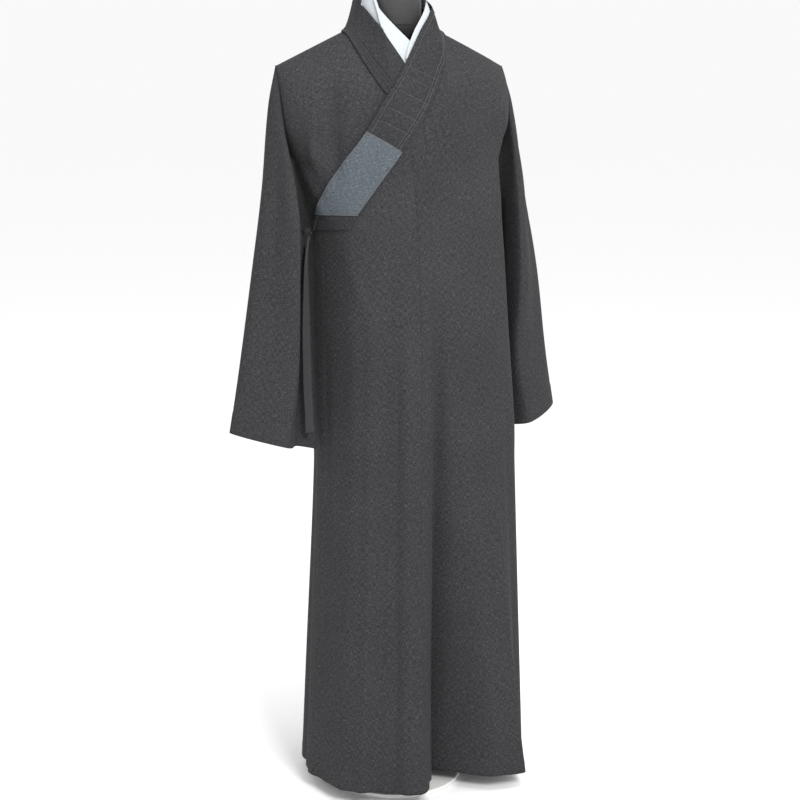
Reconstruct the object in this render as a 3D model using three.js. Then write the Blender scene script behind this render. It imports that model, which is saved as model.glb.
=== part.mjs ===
// A long cross-collared monk's robe standing on a limbless dress form.
// Millimetres, +Z up, wearer facing -Y, wearer's left at +X, origin under the middle of the stand's base.
// The cloth pieces are thin closed walls laid on one garment surface: girth sections from hem to armpit,
// and above the armpit a yoke that rolls over to the shoulder line and rises around the neck.
import * as THREE from 'three';

// ---------- driving dimensions ----------
const CLOTH = 1.5;                 // wall of a cloth panel
const SEAM = 0.3;                  // gap between pieces that are sewn together
const HEM_Z = 30;                  // hem above the floor
const ARMPIT_Z = 1190;             // top of the girth sections
const SHOULDER_X = 224;            // shoulder tip, out from the middle
const SHOULDER_Z = 1355;
const SHOULDER_Y = 17;             // the shoulder line lies behind the axis
const SHOULDER_SLOPE = 0.462;      // rise of the shoulder line for each mm towards the neck
const NECK_X = 92;                 // where the shoulder line turns up into the collar
const COLLAR_TOP_X = 52;
const COLLAR_TOP_Z = 1501;
const GIRTH_Y = 10;                // centre of the girth sections
const ARM_X = 206;                 // half width at the armpit that the yoke spreads to the shoulder tip
const UNDERLAY = 4.2;              // how far the right front lies inside the lap that covers it
const RIDGE_LEVEL = 0.994;         // pieces that part on the shoulder line stop here

const COLOUR = { robe: 0x56575b, band: 0x5c5d61, patch: 0xaab4bd, guard: 0xe9eaec, form: 0x1d1d1f, stand: 0xe4e4e2 };

// Girth sections: radius from the centre line at each angle, 0 in front and +90 at the wearer's left.
const GIRTH_ANGLES = [-160, -135, -112, -90, -72, -55, -38, -18, 0, 18, 38, 52, 63, 76, 90, 112, 135, 160, 180];
const GIRTHS = [
  { z: 30, r: [188, 184, 177, 178, 180, 180, 178, 180, 182, 196, 236, 256, 252, 238, 220, 204, 196, 190, 187] },
  { z: 235, r: [172, 170, 168, 166, 167, 166, 164, 166, 167, 180, 216, 238, 243, 228, 205, 188, 178, 172, 172] },
  { z: 625, r: [150, 150, 150, 149, 150, 151, 151, 151, 150, 157, 187, 217, 227, 196, 168, 156, 154, 150, 149] },
  { z: 705, r: [146, 150, 153, 151, 149, 150, 150, 150, 148, 154, 182, 214, 225, 186, 157, 150, 151, 147, 146] },
  { z: 885, r: [134, 148, 160, 155, 149, 149, 146, 142, 140, 146, 170, 198, 212, 180, 156, 145, 141, 136, 130] },
  { z: 1045, r: [118, 144, 165, 159, 153, 154, 144, 134, 130, 138, 160, 184, 201, 184, 166, 152, 138, 120, 112] },
  { z: 1190, r: [112, 138, 172, 196, 190, 172, 146, 130, 126, 130, 146, 168, 187, 194, 198, 172, 138, 112, 106] },
];

// Largest folds: angle where each begins and at the hem, half widths in degrees there, the height it
// starts at, its depth (-) or height (+) at the hem, and how it grows on the way down.
const FOLDS = [
  { from: 9, to: 19, wide: [4, 12], start: 995, rise: -108, power: 1.25 },
  { from: 2, to: 3, wide: [4, 5], start: 800, rise: -22, power: 1.25 },
  { from: 27, to: 31, wide: [4, 5], start: 700, rise: -24, power: 1.25 },
  { from: 39, to: 46, wide: [2.8, 3.6], start: 965, rise: 9, power: 0.8 },
  { from: -27, to: -35, wide: [7, 9], start: 1105, rise: -9, power: 0.35 },
  { from: -14, to: -16, wide: [5, 6], start: 1085, rise: 5, power: 0.4 },
  { from: -52, to: -57, wide: [6, 7], start: 985, rise: 6, power: 0.6 },
  { from: -78, to: -78, wide: [4, 5], start: 885, rise: -6, power: 0.6 },
  { from: 92, to: 96, wide: [7, 9], start: 685, rise: -24, power: 1 },
  { from: 116, to: 118, wide: [6, 8], start: 985, rise: 14, power: 1 },
  { from: 140, to: 140, wide: [6, 8], start: 1025, rise: -30, power: 1 },
  { from: 160, to: 162, wide: [5, 7], start: 985, rise: 12, power: 1 },
  { from: 180, to: 180, wide: [5, 6], start: 1045, rise: -18, power: 0.9 },
  { from: -162, to: -160, wide: [5, 7], start: 985, rise: 14, power: 1 },
  { from: -140, to: -140, wide: [6, 8], start: 1025, rise: -28, power: 1 },
  { from: -118, to: -116, wide: [6, 8], start: 985, rise: 3, power: 1 },
];

// Armhole edges from the armpit over the tip of the shoulder, as x, y, z on the wearer's left.
const ARMHOLE_FRONT = [[198, 10, 1190], [213, 12, 1219], [221, 2, 1247], [222, -4, 1286], [223, 3, 1325],
  [SHOULDER_X, SHOULDER_Y, SHOULDER_Z]];
const ARMHOLE_BACK = [[198, 10, 1190], [213, 12, 1219], [221, 26, 1247], [222, 38, 1286], [223, 31, 1325],
  [SHOULDER_X, SHOULDER_Y, SHOULDER_Z]];

// Sleeve rings, shoulder to cuff, as x, y, z on the wearer's left: outer, front, hollow, inner and back
// point of each. The right sleeve hangs closer to the body, so it has its own inner points.
const SLEEVE_RINGS = [
  [[238, 8, 1297], [224, -36, 1210], [214, -8, 1190], [206, 8, 1181], [226, 48, 1225]],
  [[257, -6, 1150], [219, -70, 1100], [208, -14, 1086], [197, 2, 1080], [230, 50, 1110]],
  [[283, -12, 995], [223, -76, 970], [206, -12, 960], [188, 0, 953], [238, 48, 975]],
  [[308, -12, 843], [224, -66, 824], [205, -10, 812], [180, -2, 805], [243, 46, 826]],
  [[331, -10, 715], [248, -74, 693], [206, -16, 680], [178, -10, 672], [246, 44, 695]],
];
const RIGHT_INNER = [[206, 8, 1181], [183, 6, 1080], [172, 6, 953], [166, 4, 805], [163, -2, 668]];

// Collar stations: angle and height of the seamed edge, then of the free edge, on the garment surface.
// A height above the shoulder line there means the line itself.
const BAND_LEFT = [[37.2, 1425, 25, 1485], [36.4, 1406, 22.5, 1452], [32, 1397, 16.5, 1436],
  [28, 1386, 9.5, 1417], [24.5, 1362, 0.5, 1389], [20, 1335, -8.6, 1362], [12, 1304, -17, 1336],
  [2.5, 1268, -28, 1302], [-10.5, 1235, -37, 1266], [-19.2, 1206, -42.5, 1244], [-29.5, 1174, -50.5, 1213],
  [-39, 1140, -59, 1177], [-45, 1116, -68, 1143], [-48.5, 1102, -78, 1102], [-54, 1075, -85.5, 1071]];
const BAND_RIGHT = [[-37.2, 1425, -25, 1485], [-39, 1404, -25.5, 1448], [-37.5, 1382, -24, 1430],
  [-35.5, 1354, -21, 1409], [-31, 1329, -15, 1385], [-27, 1307, -9, 1362], [-20, 1285, -5, 1337],
  [-12.5, 1275, -4, 1305]];
const BAND_BACK = [[139.5, 1425, 151, 1485], [146, 1409, 158, 1466], [160, 1403, 168, 1463],
  [180, 1401, 180, 1463], [200, 1403, 192, 1463], [214, 1409, 202, 1466], [220.5, 1425, 209, 1485]];
const START = 0.06;                // stations left free where two bands part on the shoulder line
const PATCH_STATIONS = [8.9, 13.05];   // the patch covers the left band between these stations

// Collar guard, a white strip inside the bands that stands above their free edge.
const GUARD_RIGHT = [[-27, 1485, -23.6, 1501], [-26.5, 1438, -20.5, 1467], [-25, 1418, -14, 1444],
  [-22, 1396, -7, 1422], [-17, 1374, 1.3, 1401], [-11, 1353, 6, 1387], [-4, 1335, 11, 1375]];
const GUARD_LEFT = [[27.5, 1485, 24, 1501], [24.5, 1440, 19.5, 1457], [18.5, 1422, 12, 1439],
  [11, 1403, 4, 1414], [3, 1381, -2.5, 1391], [-4, 1362, -7, 1370]];
const GUARD_BACK = [[207.4, 1478, 205.4, 1497], [203, 1454, 201, 1475], [192, 1453, 191, 1473],
  [180, 1453, 180, 1471], [168, 1453, 169, 1471], [157, 1454, 158, 1471], [152.6, 1478, 154.6, 1497]];

// Side tie, a flat tape hanging from the end of the outer band: x, y, z along its middle.
const TIE_PATH = [[-170, 4, 1058], [-175, 0, 1042], [-181, -8, 1015], [-185, -16, 975], [-187, -20, 930],
  [-188, -22, 885], [-188, -24, 835], [-188, -26, 785], [-187, -29, 743], [-187, -32, 707]];
const TIE_WIDTH = 15;
const TIE_THICK = 2.4;
const TIE_TURN = [55, -20];         // plan angle of the tape's width at its top and at its end
const KNOT = { at: [-176, 0, 1068], r: 5.5 };

// ---------- small mathematics ----------
const clamp = (x, low, high) => Math.min(high, Math.max(low, x));
const mix = (a, b, t) => a + (b - a) * t;
const smooth = (x) => { const t = clamp(x, 0, 1); return t * t * (3 - 2 * t); };
const rad = (degrees) => degrees * Math.PI / 180;

// Smooth curve through values at uneven knots, straight on from the end slopes' own segments.
function curve(knots, values, x) {
  const n = knots.length;
  const at = clamp(x, knots[0], knots[n - 1]);
  let i = 0;
  while (i < n - 2 && at > knots[i + 1]) i += 1;
  const slope = (k) => {
    const low = Math.max(0, k - 1);
    const high = Math.min(n - 1, k + 1);
    return (values[high] - values[low]) / (knots[high] - knots[low]);
  };
  const h = knots[i + 1] - knots[i];
  const t = (at - knots[i]) / h;
  return (2 * t ** 3 - 3 * t ** 2 + 1) * values[i] + (t ** 3 - 2 * t ** 2 + t) * h * slope(i)
    + (3 * t ** 2 - 2 * t ** 3) * values[i + 1] + (t ** 3 - t ** 2) * h * slope(i + 1);
}

// The same around a full turn.
function roundCurve(angles, values, angle) {
  const n = angles.length;
  const wrap = (k) => (k < 0 ? angles[k + n] - 360 : k >= n ? angles[k - n] + 360 : angles[k]);
  const value = (k) => values[(k + n) % n];
  const at = ((angle - angles[0]) % 360 + 360) % 360 + angles[0];
  let i = 0;
  while (i < n - 1 && at > angles[i + 1]) i += 1;
  const knots = [wrap(i - 1), wrap(i), wrap(i + 1), wrap(i + 2)];
  const four = [value(i - 1), value(i), value(i + 1), value(i + 2)];
  return curve(knots, four, at);
}

const bell = (x, width) => Math.exp(-((x / width) ** 2));
const turnBetween = (a, b) => ((a - b + 180) % 360 + 360) % 360 - 180;

// ---------- the garment surface ----------
const EVEN_LEVEL = 0.995;          // above this the shoulder line itself is met
const STEP_DOWN = 3;               // steps to the neighbours that give the normal: mm, level, degrees
const STEP_UP = 0.02;
const STEP_ROUND = 0.7;

function girthRadius(angle, z) {
  const levels = GIRTHS.map((g) => g.z);
  const radii = GIRTHS.map((g) => roundCurve(GIRTH_ANGLES, g.r, angle));
  let r = curve(levels, radii, z);
  for (const fold of FOLDS) {
    const grown = clamp((fold.start - z) / (fold.start - HEM_Z), 0, 1);
    const centre = mix(fold.from, fold.to, grown);
    const width = mix(fold.wide[0], fold.wide[1], grown);
    r += fold.rise * grown ** fold.power * bell(turnBetween(angle, centre), width);
  }
  return r;
}

// Height of the shoulder line: even slope to the neck, then rising to the collar's top.
function ridgeHeight(x) {
  const out = Math.abs(x);
  if (out <= COLLAR_TOP_X) return COLLAR_TOP_Z;
  const line = SHOULDER_Z + (SHOULDER_X - out) * SHOULDER_SLOPE;
  if (out >= NECK_X) return line;
  const foot = SHOULDER_Z + (SHOULDER_X - COLLAR_TOP_X) * SHOULDER_SLOPE;
  return line + (COLLAR_TOP_Z - foot) * ((NECK_X - out) / (NECK_X - COLLAR_TOP_X)) ** 2.4;
}

// Point of the surface. level <= 0 is millimetres below the armpit, 0 to 1 goes up over the yoke to the
// shoulder line. back says which side of the shoulder line, which matters only at the armhole.
function garment(angle, level, back = Math.abs(turnBetween(angle, 0)) > 90) {
  const r = girthRadius(angle, ARMPIT_Z + Math.min(level, 0));
  const x0 = r * Math.sin(rad(angle));
  const y0 = GIRTH_Y - r * Math.cos(rad(angle));
  if (level <= 0) return new THREE.Vector3(x0, y0, ARMPIT_Z + level);
  const lift = Math.sin(level * Math.PI / 2);
  const lean = Math.cos(level * Math.PI / 2);
  const x = x0 * (1 + (SHOULDER_X / ARM_X - 1) * lift * lift);
  const fullness = back ? 1 - 0.24 * bell(x, 75) : 1 + 0.7 * bell(x, 70);
  const y = SHOULDER_Y + (y0 - SHOULDER_Y) * Math.max(lean, 0) ** fullness;
  const z = ARMPIT_Z + (ridgeHeight(x) - ARMPIT_Z) * lift;
  const point = new THREE.Vector3(x, y, z);
  const side = Math.sign(turnBetween(angle, 0)) || 1;
  const nearArm = smooth(1 - Math.abs(Math.abs(turnBetween(angle, 0)) - 90) / 42);
  if (nearArm > 0) {
    const edge = armholePoint(side, back, ARMPIT_Z + (SHOULDER_Z - ARMPIT_Z) * lift);
    const own = girthRadius(90 * side, ARMPIT_Z) * side * (1 + (SHOULDER_X / ARM_X - 1) * lift * lift);
    const ownY = SHOULDER_Y + (GIRTH_Y - SHOULDER_Y) * lean;
    const ownZ = ARMPIT_Z + (ridgeHeight(own) - ARMPIT_Z) * lift;
    point.x += nearArm * (edge.x - own);
    point.y += nearArm * (edge.y - ownY);
    point.z += nearArm * (edge.z - ownZ);
  }
  return point;
}

// How far a point of the surface gives way where the lap lies over the right front. lap is the part of
// that which raises the lap itself, towards the side seam; the rest sinks the front beneath it.
function underlay(angle, level, back) {
  const turn = turnBetween(angle, 0);
  const lap = !back && turn < 0 ? UNDERLAY * smooth((-turn - 58) / 28) : 0;
  const sunk = back ? 0 : UNDERLAY * (1 - smooth((level - 0.65) / 0.25));
  return { lap, sunk: Math.min(lap - sunk, 0) };
}

// The same point with the surface's outward normal on it, where the surface goes on evenly to both sides.
function surfacePoint(angle, level, back = Math.abs(turnBetween(angle, 0)) > 90) {
  const point = garment(angle, level, back);
  point.under = underlay(angle, level, back);
  if (level > EVEN_LEVEL) return point;
  const below = level <= 0 ? level - STEP_DOWN : Math.max(level - STEP_UP, 0);
  const above = level < -STEP_DOWN ? level + STEP_DOWN : Math.min(Math.max(level, 0) + STEP_UP, 1);
  const down = garment(angle, below, back).sub(garment(angle, above, back));
  const along = garment(angle + STEP_ROUND, level, back).sub(garment(angle - STEP_ROUND, level, back));
  point.normal = along.cross(down).negate().normalize();
  return point;
}

function armholePoint(side, back, z) {
  const rows = back ? ARMHOLE_BACK : ARMHOLE_FRONT;
  const heights = rows.map((p) => p[2]);
  const x = curve(heights, rows.map((p) => p[0]), z);
  const y = curve(heights, rows.map((p) => p[1]), z);
  return new THREE.Vector3(side * x, y, z);
}

// The level at which the surface, at this angle, has this height.
function levelAt(angle, z) {
  if (z <= ARMPIT_Z) return z - ARMPIT_Z;
  let low = 0;
  let high = 1;
  for (let k = 0; k < 32; k += 1) {
    const middle = (low + high) / 2;
    if (garment(angle, middle).z < z) low = middle;
    else high = middle;
  }
  return Math.min(low, RIDGE_LEVEL);
}

// ---------- closed walls ----------
// A wall on a grid of surface points, rows of equal length. from and to are the wall's two faces, as
// offsets along the outward normal, numbers or functions of a point's underlay. Rims close the wall,
// and around joins each row's end to its start.
function wall(grid, { from = -CLOTH, to = 0, around = false, flip = false } = {}) {
  const rows = grid.length;
  const width = grid[0].length;
  const point = (i, j) => grid[clamp(i, 0, rows - 1)][around ? (j + width) % width : clamp(j, 0, width - 1)];
  const positions = [];
  for (const face of [to, from]) {
    for (let i = 0; i < rows; i += 1) {
      for (let j = 0; j < width; j += 1) {
        const down = point(i + 1, j).clone().sub(point(i - 1, j));
        const along = point(i, j + 1).clone().sub(point(i, j - 1));
        const own = down.cross(along).normalize().multiplyScalar(flip ? -1 : 1);
        const move = typeof face === 'function' ? face(point(i, j).under) : face;
        positions.push(...point(i, j).clone().addScaledVector(point(i, j).normal ?? own, move).toArray());
      }
    }
  }
  const layer = rows * width;
  const id = (face, i, j) => face * layer + i * width + (j % width);
  const faces = [];
  const quad = (a, b, c, d) => faces.push(a, b, c, a, c, d);
  const spans = around ? width : width - 1;
  const last = rows - 1;
  for (let i = 0; i < last; i += 1) {
    for (let j = 0; j < spans; j += 1) {
      quad(id(0, i, j), id(0, i + 1, j), id(0, i + 1, j + 1), id(0, i, j + 1));
      quad(id(1, i, j), id(1, i, j + 1), id(1, i + 1, j + 1), id(1, i + 1, j));
    }
  }
  for (let j = 0; j < spans; j += 1) {
    quad(id(0, 0, j), id(0, 0, j + 1), id(1, 0, j + 1), id(1, 0, j));
    quad(id(0, last, j), id(1, last, j), id(1, last, j + 1), id(0, last, j + 1));
  }
  if (!around) {
    for (let i = 0; i < last; i += 1) {
      quad(id(0, i, 0), id(1, i, 0), id(1, i + 1, 0), id(0, i + 1, 0));
      quad(id(0, i, width - 1), id(0, i + 1, width - 1), id(1, i + 1, width - 1), id(1, i, width - 1));
    }
  }
  return solid(positions, faces);
}

// A full body through closed rings of equal length, its two ends closed on their middle points.
function rings(list) {
  const width = list[0].length;
  const positions = list.flat().flatMap((p) => p.toArray());
  const faces = [];
  for (let i = 0; i < list.length - 1; i += 1) {
    for (let j = 0; j < width; j += 1) {
      const next = (j + 1) % width;
      const a = i * width + j;
      const b = i * width + next;
      faces.push(a, b, b + width, a, b + width, a + width);
    }
  }
  for (const [row, turned] of [[0, true], [list.length - 1, false]]) {
    const middle = list[row].reduce((sum, p) => sum.add(p), new THREE.Vector3()).divideScalar(width);
    const centre = positions.push(...middle.toArray()) / 3 - 1;
    for (let j = 0; j < width; j += 1) {
      const pair = [row * width + j, row * width + ((j + 1) % width)];
      faces.push(...(turned ? pair.reverse() : pair), centre);
    }
  }
  return solid(positions, faces);
}

// Geometry with its faces turned out, whichever way its grid ran.
function solid(positions, faces) {
  const p = (k) => new THREE.Vector3(positions[3 * k], positions[3 * k + 1], positions[3 * k + 2]);
  let volume = 0;
  for (let k = 0; k < faces.length; k += 3) {
    volume += p(faces[k]).dot(p(faces[k + 1]).cross(p(faces[k + 2])));
  }
  if (volume < 0) {
    for (let k = 0; k < faces.length; k += 3) [faces[k + 1], faces[k + 2]] = [faces[k + 2], faces[k + 1]];
  }
  const geometry = new THREE.BufferGeometry();
  geometry.setAttribute('position', new THREE.Float32BufferAttribute(positions, 3));
  geometry.setIndex(faces);
  geometry.computeVertexNormals();
  return geometry;
}

const even = (count) => Array.from({ length: count + 1 }, (_, k) => k / count);

// ---------- body lengths: front and back in one over the shoulder ----------
// Front edges by height, as z then x. The left one follows the centre seam, then runs 8 mm under the
// outer band; the right one lies under the lap, then 8 mm under the inner band.
const LEFT_EDGE = [[30, -9], [475, -15], [860, -11], [1045, -12], [1145, -18], [1225, -23], [1257, -11],
  [1298, 14], [1327, 34], [1353, 52], [1383, 65], [1402, 80], [1412, 90], [1425, 92.5]];
const RIGHT_EDGE = [[30, -15], [475, -21], [860, -17], [1045, -18], [1247, -18], [1277, -32], [1303, -54],
  [1330, -68], [1357, -78], [1385, -86], [1412, -91], [1425, -92.5]];
const BACK_EDGE = [[30, 0], [1405, 0], [1405, 30], [1407, 58], [1413, 88], [1425, 92.5]];

const SKIRT_LEVELS = [-1160, -1000, -820, -640, -460, -310, -200, -127, -110, -90, -60];
const YOKE_LEVELS = [0, 0.12, 0.24, 0.35, 0.43, 0.5, 0.6, 0.72, 0.84, 0.94];
const LEFT_COLUMNS = [0, 0.05, 0.1, 0.15, 0.2, 0.25, 0.3, 0.36, 0.43, 0.51, 0.61, 0.73, 0.86, 1];
const SEAM_TURN = 0.2;            // degrees either side of a seam, for its gap

const edgeX = (edge, z) => curve(edge.map((p) => p[0]), edge.map((p) => p[1]), z);

// Angle between inner and outer at which the surface crosses an edge, at one level.
function edgeAngle(edge, level, inner, outer, side) {
  let a = inner;
  let b = outer;
  for (let k = 0; k < 32; k += 1) {
    const middle = (a + b) / 2;
    const p = garment(middle, level);
    if (side * (p.x - edgeX(edge, p.z)) < 0) a = middle;
    else b = middle;
  }
  return (a + b) / 2;
}

function bodyLength(side) {
  const climb = [...SKIRT_LEVELS, ...YOKE_LEVELS];
  const stops = [...climb.map((v) => [false, v]), [false, 1], ...climb.slice().reverse().map((v) => [true, v])];
  const columns = side > 0 ? LEFT_COLUMNS : even(14);
  const grid = stops.map(([back, level]) => {
    const outer = side * (back ? 90 + SEAM_TURN : 90 - SEAM_TURN);
    let inner;
    if (!back) inner = edgeAngle(side > 0 ? LEFT_EDGE : RIGHT_EDGE, level, side * -30, side * 86, side);
    else if (level <= 0) inner = 180 * side;
    else inner = edgeAngle(BACK_EDGE.map(([z, x]) => [z, side * x]), level, 180 * side, 92 * side, side);
    const start = inner + (back ? -side : side) * SEAM_TURN;
    return columns.map((t) => surfacePoint(mix(start, outer, t), level, back));
  });
  if (side > 0) return wall(grid, { flip: true });
  return wall(grid, { from: (under) => under.sunk - CLOTH, to: (under) => under.sunk });
}

// ---------- outer lap: from the centre seam across to the wearer's right side ----------
// Its upper edge lies under the middle of the outer band.
const LAP_TOP = [[1063, -164], [1085, -150], [1135, -118], [1185, -79], [1230, -38], [1243, -29]];
const LAP_SIDE_ANGLE = [[30, -89], [1063, -86]];
const LAP_LEVELS = [...SKIRT_LEVELS.slice(0, 8), -110, -100, -90, -75, -60, -30, 0, 0.06, 0.12, 0.16];

function outerLap() {
  const grid = LAP_LEVELS.map((level) => {
    const z = level <= 0 ? ARMPIT_Z + level : garment(-12, level).z;
    const seam = edgeAngle(LEFT_EDGE, level, -40, 60, 1) - SEAM_TURN;
    const side = z <= LAP_TOP[0][0]
      ? curve(LAP_SIDE_ANGLE.map((p) => p[0]), LAP_SIDE_ANGLE.map((p) => p[1]), z)
      : Math.max(edgeAngle(LAP_TOP, level, -88, 0, 1), -86);
    return even(14).map((t) => surfacePoint(mix(Math.min(side, seam - 1.5), seam, t), level));
  });
  return wall(grid, { from: (under) => under.lap - CLOTH, to: (under) => under.lap, flip: true });
}

// ---------- collar ----------
// A strip between two edges given by stations of angle and height, carried on the surface. gather above 1
// crowds its rows towards the first station, at the neck.
function strip(stations, first, last, steps, across, gather = 1.2) {
  const count = stations.length - 1;
  const knots = stations.map((_, k) => k);
  const value = (column, at) => curve(knots, stations.map((row) => row[column]), at);
  return even(steps).map((s) => {
    const at = mix(first, Math.min(last, count), s ** gather);
    return even(across).map((t) => {
      const angle = mix(value(0, at), value(2, at), t);
      const z = mix(value(1, at), value(3, at), t);
      return surfacePoint(angle, levelAt(angle, z));
    });
  });
}

// Faces of what lies on the surface: the outer band and its patch over the lap, the inner band and its
// guard sunk with the right front.
const over = (from, to) => ({ from: (under) => under.lap + from, to: (under) => under.lap + to });
const beneath = (from, to) => ({ from: (under) => under.sunk + from, to: (under) => under.sunk + to });
const BAND = [2, 3.6];
const PATCH = [4.4, 5.4];
const GUARD = [-4.2, -3];

// ---------- sleeves ----------
const SLEEVE_SET = CLOTH + 1.6;    // the sleeve's head stands this far out from the armhole's edge
const HEAD_MIDDLE_Z = 1287;
const HEAD_HALF = 68;
const CUFF_Z = 715;                 // outer corner of the cuff
const SLEEVE_STEPS = 11;
const SLEEVE_ROUND = 16;
const RING_ANGLES = [0, 85, 140, 185, 275];

function sleeve(side) {
  const ring = (points, v) => {
    const axis = (k) => roundCurve(RING_ANGLES, points.map((p) => p[k]), v * 360);
    return [axis(0), axis(1), axis(2)];
  };
  const head = (v) => {
    const z = HEAD_MIDDLE_Z + HEAD_HALF * Math.cos(2 * Math.PI * v);
    const edge = armholePoint(1, v > 0.5, z);
    return [edge.x + SLEEVE_SET, edge.y, edge.z];
  };
  const all = SLEEVE_RINGS.map((points, k) => (side > 0 ? points : points.with(3, RIGHT_INNER[k])));
  const knots = [0, ...all.map((points) => (SHOULDER_Z - points[0][2]) / (SHOULDER_Z - CUFF_Z))];
  const grid = even(SLEEVE_STEPS).map((s) => even(SLEEVE_ROUND).slice(0, -1).map((v) => {
    const along = [head(v), ...all.map((points) => ring(points, v))];
    const [x, y, z] = [0, 1, 2].map((k) => curve(knots, along.map((p) => p[k]), s ** 1.25));
    return new THREE.Vector3(side * x, y, z);
  }));
  return wall(grid, { around: true, flip: side < 0 });
}

// ---------- tie and knot ----------
// Flat tape: a thin rectangle carried down the path, edge on at the top and turning to show its width.
function sideTie() {
  const path = new THREE.CatmullRomCurve3(TIE_PATH.map((p) => new THREE.Vector3(...p)));
  const steps = 16;
  const list = even(steps).map((s) => {
    const middle = path.getPointAt(s);
    const down = path.getTangentAt(s);
    const turn = rad(mix(TIE_TURN[0], TIE_TURN[1], smooth(s)));
    const wide = new THREE.Vector3(Math.cos(turn), Math.sin(turn), 0);
    wide.addScaledVector(down, -wide.dot(down)).normalize();
    const thin = down.clone().cross(wide);
    const corner = (w, h) => middle.clone().addScaledVector(wide, w * TIE_WIDTH / 2)
      .addScaledVector(thin, h * TIE_THICK / 2);
    return [[-1, -0.6], [-0.8, -1], [0.8, -1], [1, -0.6], [1, 0.6], [0.8, 1], [-0.8, 1], [-1, 0.6]]
      .map(([w, h]) => corner(w, h));
  });
  return rings(list);
}

// ---------- dress form and stand ----------
// Horizontal sections: height, half width, half depth, y of the middle.
const TORSO = [[757, 118, 84, 10], [763, 128, 92, 10], [815, 132, 95, 10], [885, 126, 92, 10],
  [970, 109, 82, 10], [1045, 114, 84, 11], [1115, 134, 90, 12], [1180, 154, 92, 14], [1235, 174, 84, 16],
  [1295, 180, 66, 17], [1340, 178, 44, 17], [1362, 166, 35, 17], [1376, 146, 32, 17], [1388, 122, 32, 17],
  [1399, 98, 34, 16], [1409, 78, 38, 14], [1420, 62, 44, 12], [1433, 52, 50, 10]];
const TORSO_FULLNESS = 2.35;       // 2 would be an ellipse
const NECK = { r: 49, foot: 1433, top: 1513, y: 10 };
const BASE = { r: 125, thick: 8 };
const POLE_R = 12.5;

function section(halfWidth, halfDepth, y, z, count, fullness = 2) {
  const bend = (x) => Math.sign(x) * Math.abs(x) ** (2 / fullness);
  return even(count).slice(0, -1).map((v) => {
    const a = 2 * Math.PI * v;
    return new THREE.Vector3(halfWidth * bend(Math.cos(a)), y + halfDepth * bend(Math.sin(a)), z);
  });
}

const turned = (profile, count = 40) => rings(profile.map(([r, z]) => section(r, r, 0, z, count)));

function torso() {
  return rings(TORSO.map(([z, a, b, y]) => section(a, b, y, z, 36, TORSO_FULLNESS)));
}

// ---------- the whole part ----------
const robe = new THREE.Group();

function add(name, geometry, colour, roughness = 0.9, metalness = 0) {
  const mesh = new THREE.Mesh(geometry, new THREE.MeshStandardMaterial({ color: colour, roughness, metalness }));
  mesh.name = name;
  robe.add(mesh);
  return mesh;
}

add('body_left', bodyLength(1), COLOUR.robe);
add('body_right', bodyLength(-1), COLOUR.robe);
add('outer_lap', outerLap(), COLOUR.robe);
add('sleeve_left', sleeve(1), COLOUR.robe);
add('sleeve_right', sleeve(-1), COLOUR.robe);
const collarLeft = strip(BAND_LEFT, START, BAND_LEFT.length - 1, 27, 4);
add('collar_left', wall(collarLeft, { ...over(...BAND), flip: true }), COLOUR.band);
const collarRight = strip(BAND_RIGHT, START, BAND_RIGHT.length - 1, 12, 4);
add('collar_right', wall(collarRight, beneath(...BAND)), COLOUR.band);
const collarBack = strip(BAND_BACK, START, BAND_BACK.length - 1 - START, 14, 4, 1);
add('collar_back', wall(collarBack, over(...BAND)), COLOUR.band);
const patch = strip(BAND_LEFT, ...PATCH_STATIONS, 11, 4, 1);
add('collar_patch', wall(patch, { ...over(...PATCH), flip: true }), COLOUR.patch, 0.8);
const guardRight = strip(GUARD_RIGHT, START, GUARD_RIGHT.length - 1, 14, 3);
add('guard_right', wall(guardRight, beneath(...GUARD)), COLOUR.guard, 0.8);
const guardLeft = strip(GUARD_LEFT, START, GUARD_LEFT.length - 1, 12, 3);
add('guard_left', wall(guardLeft, { ...over(...GUARD), flip: true }), COLOUR.guard, 0.8);
const guardBack = strip(GUARD_BACK, START, GUARD_BACK.length - 1 - START, 14, 2, 1);
add('guard_back', wall(guardBack, over(...GUARD.map((face) => face - 0.8))), COLOUR.guard, 0.8);
add('side_tie', sideTie(), COLOUR.band);

const knot = add('knot_button', new THREE.SphereGeometry(KNOT.r, 10, 7), COLOUR.band);
knot.position.set(...KNOT.at);

add('form_torso', torso(), COLOUR.form, 0.55);
const neck = add('form_neck', turned([[NECK.r - 2, NECK.foot + SEAM], [NECK.r, NECK.foot + 4],
  [NECK.r, NECK.top - 5], [NECK.r - 4, NECK.top]]), COLOUR.form, 0.55);
neck.position.y = NECK.y;
const cap = add('form_cap', turned([[44, NECK.top + 0.3], [46, NECK.top + 3], [42, NECK.top + 9], [28, NECK.top + 14],
  [12, NECK.top + 16]]), COLOUR.form, 0.4);
cap.position.y = NECK.y;
add('stand_base', turned([[BASE.r - 2, 0], [BASE.r, 2], [BASE.r, BASE.thick - 2], [BASE.r - 2, BASE.thick]], 56),
  COLOUR.stand, 0.4);
add('stand_socket', turned([[26, BASE.thick + 0.3], [26, BASE.thick + 10], [18, BASE.thick + 30]]), COLOUR.stand, 0.4);
add('stand_pole', turned([[POLE_R, BASE.thick + 30.3], [POLE_R, TORSO[0][0] - 0.3]], 20), COLOUR.stand, 0.4);

export default robe;
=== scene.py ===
"""A long cross-collared monk's robe on a limbless dress form, worked out in millimetres and made in metres.

Every cloth piece lies on one garment surface, given by an angle round the wearer (0 in front, +90 at the
wearer's left) and a level: millimetres below the armpit, or 0 to 1 over the yoke to the shoulder line.
"""

import bpy
import numpy as np
from mathutils import Matrix


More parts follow.
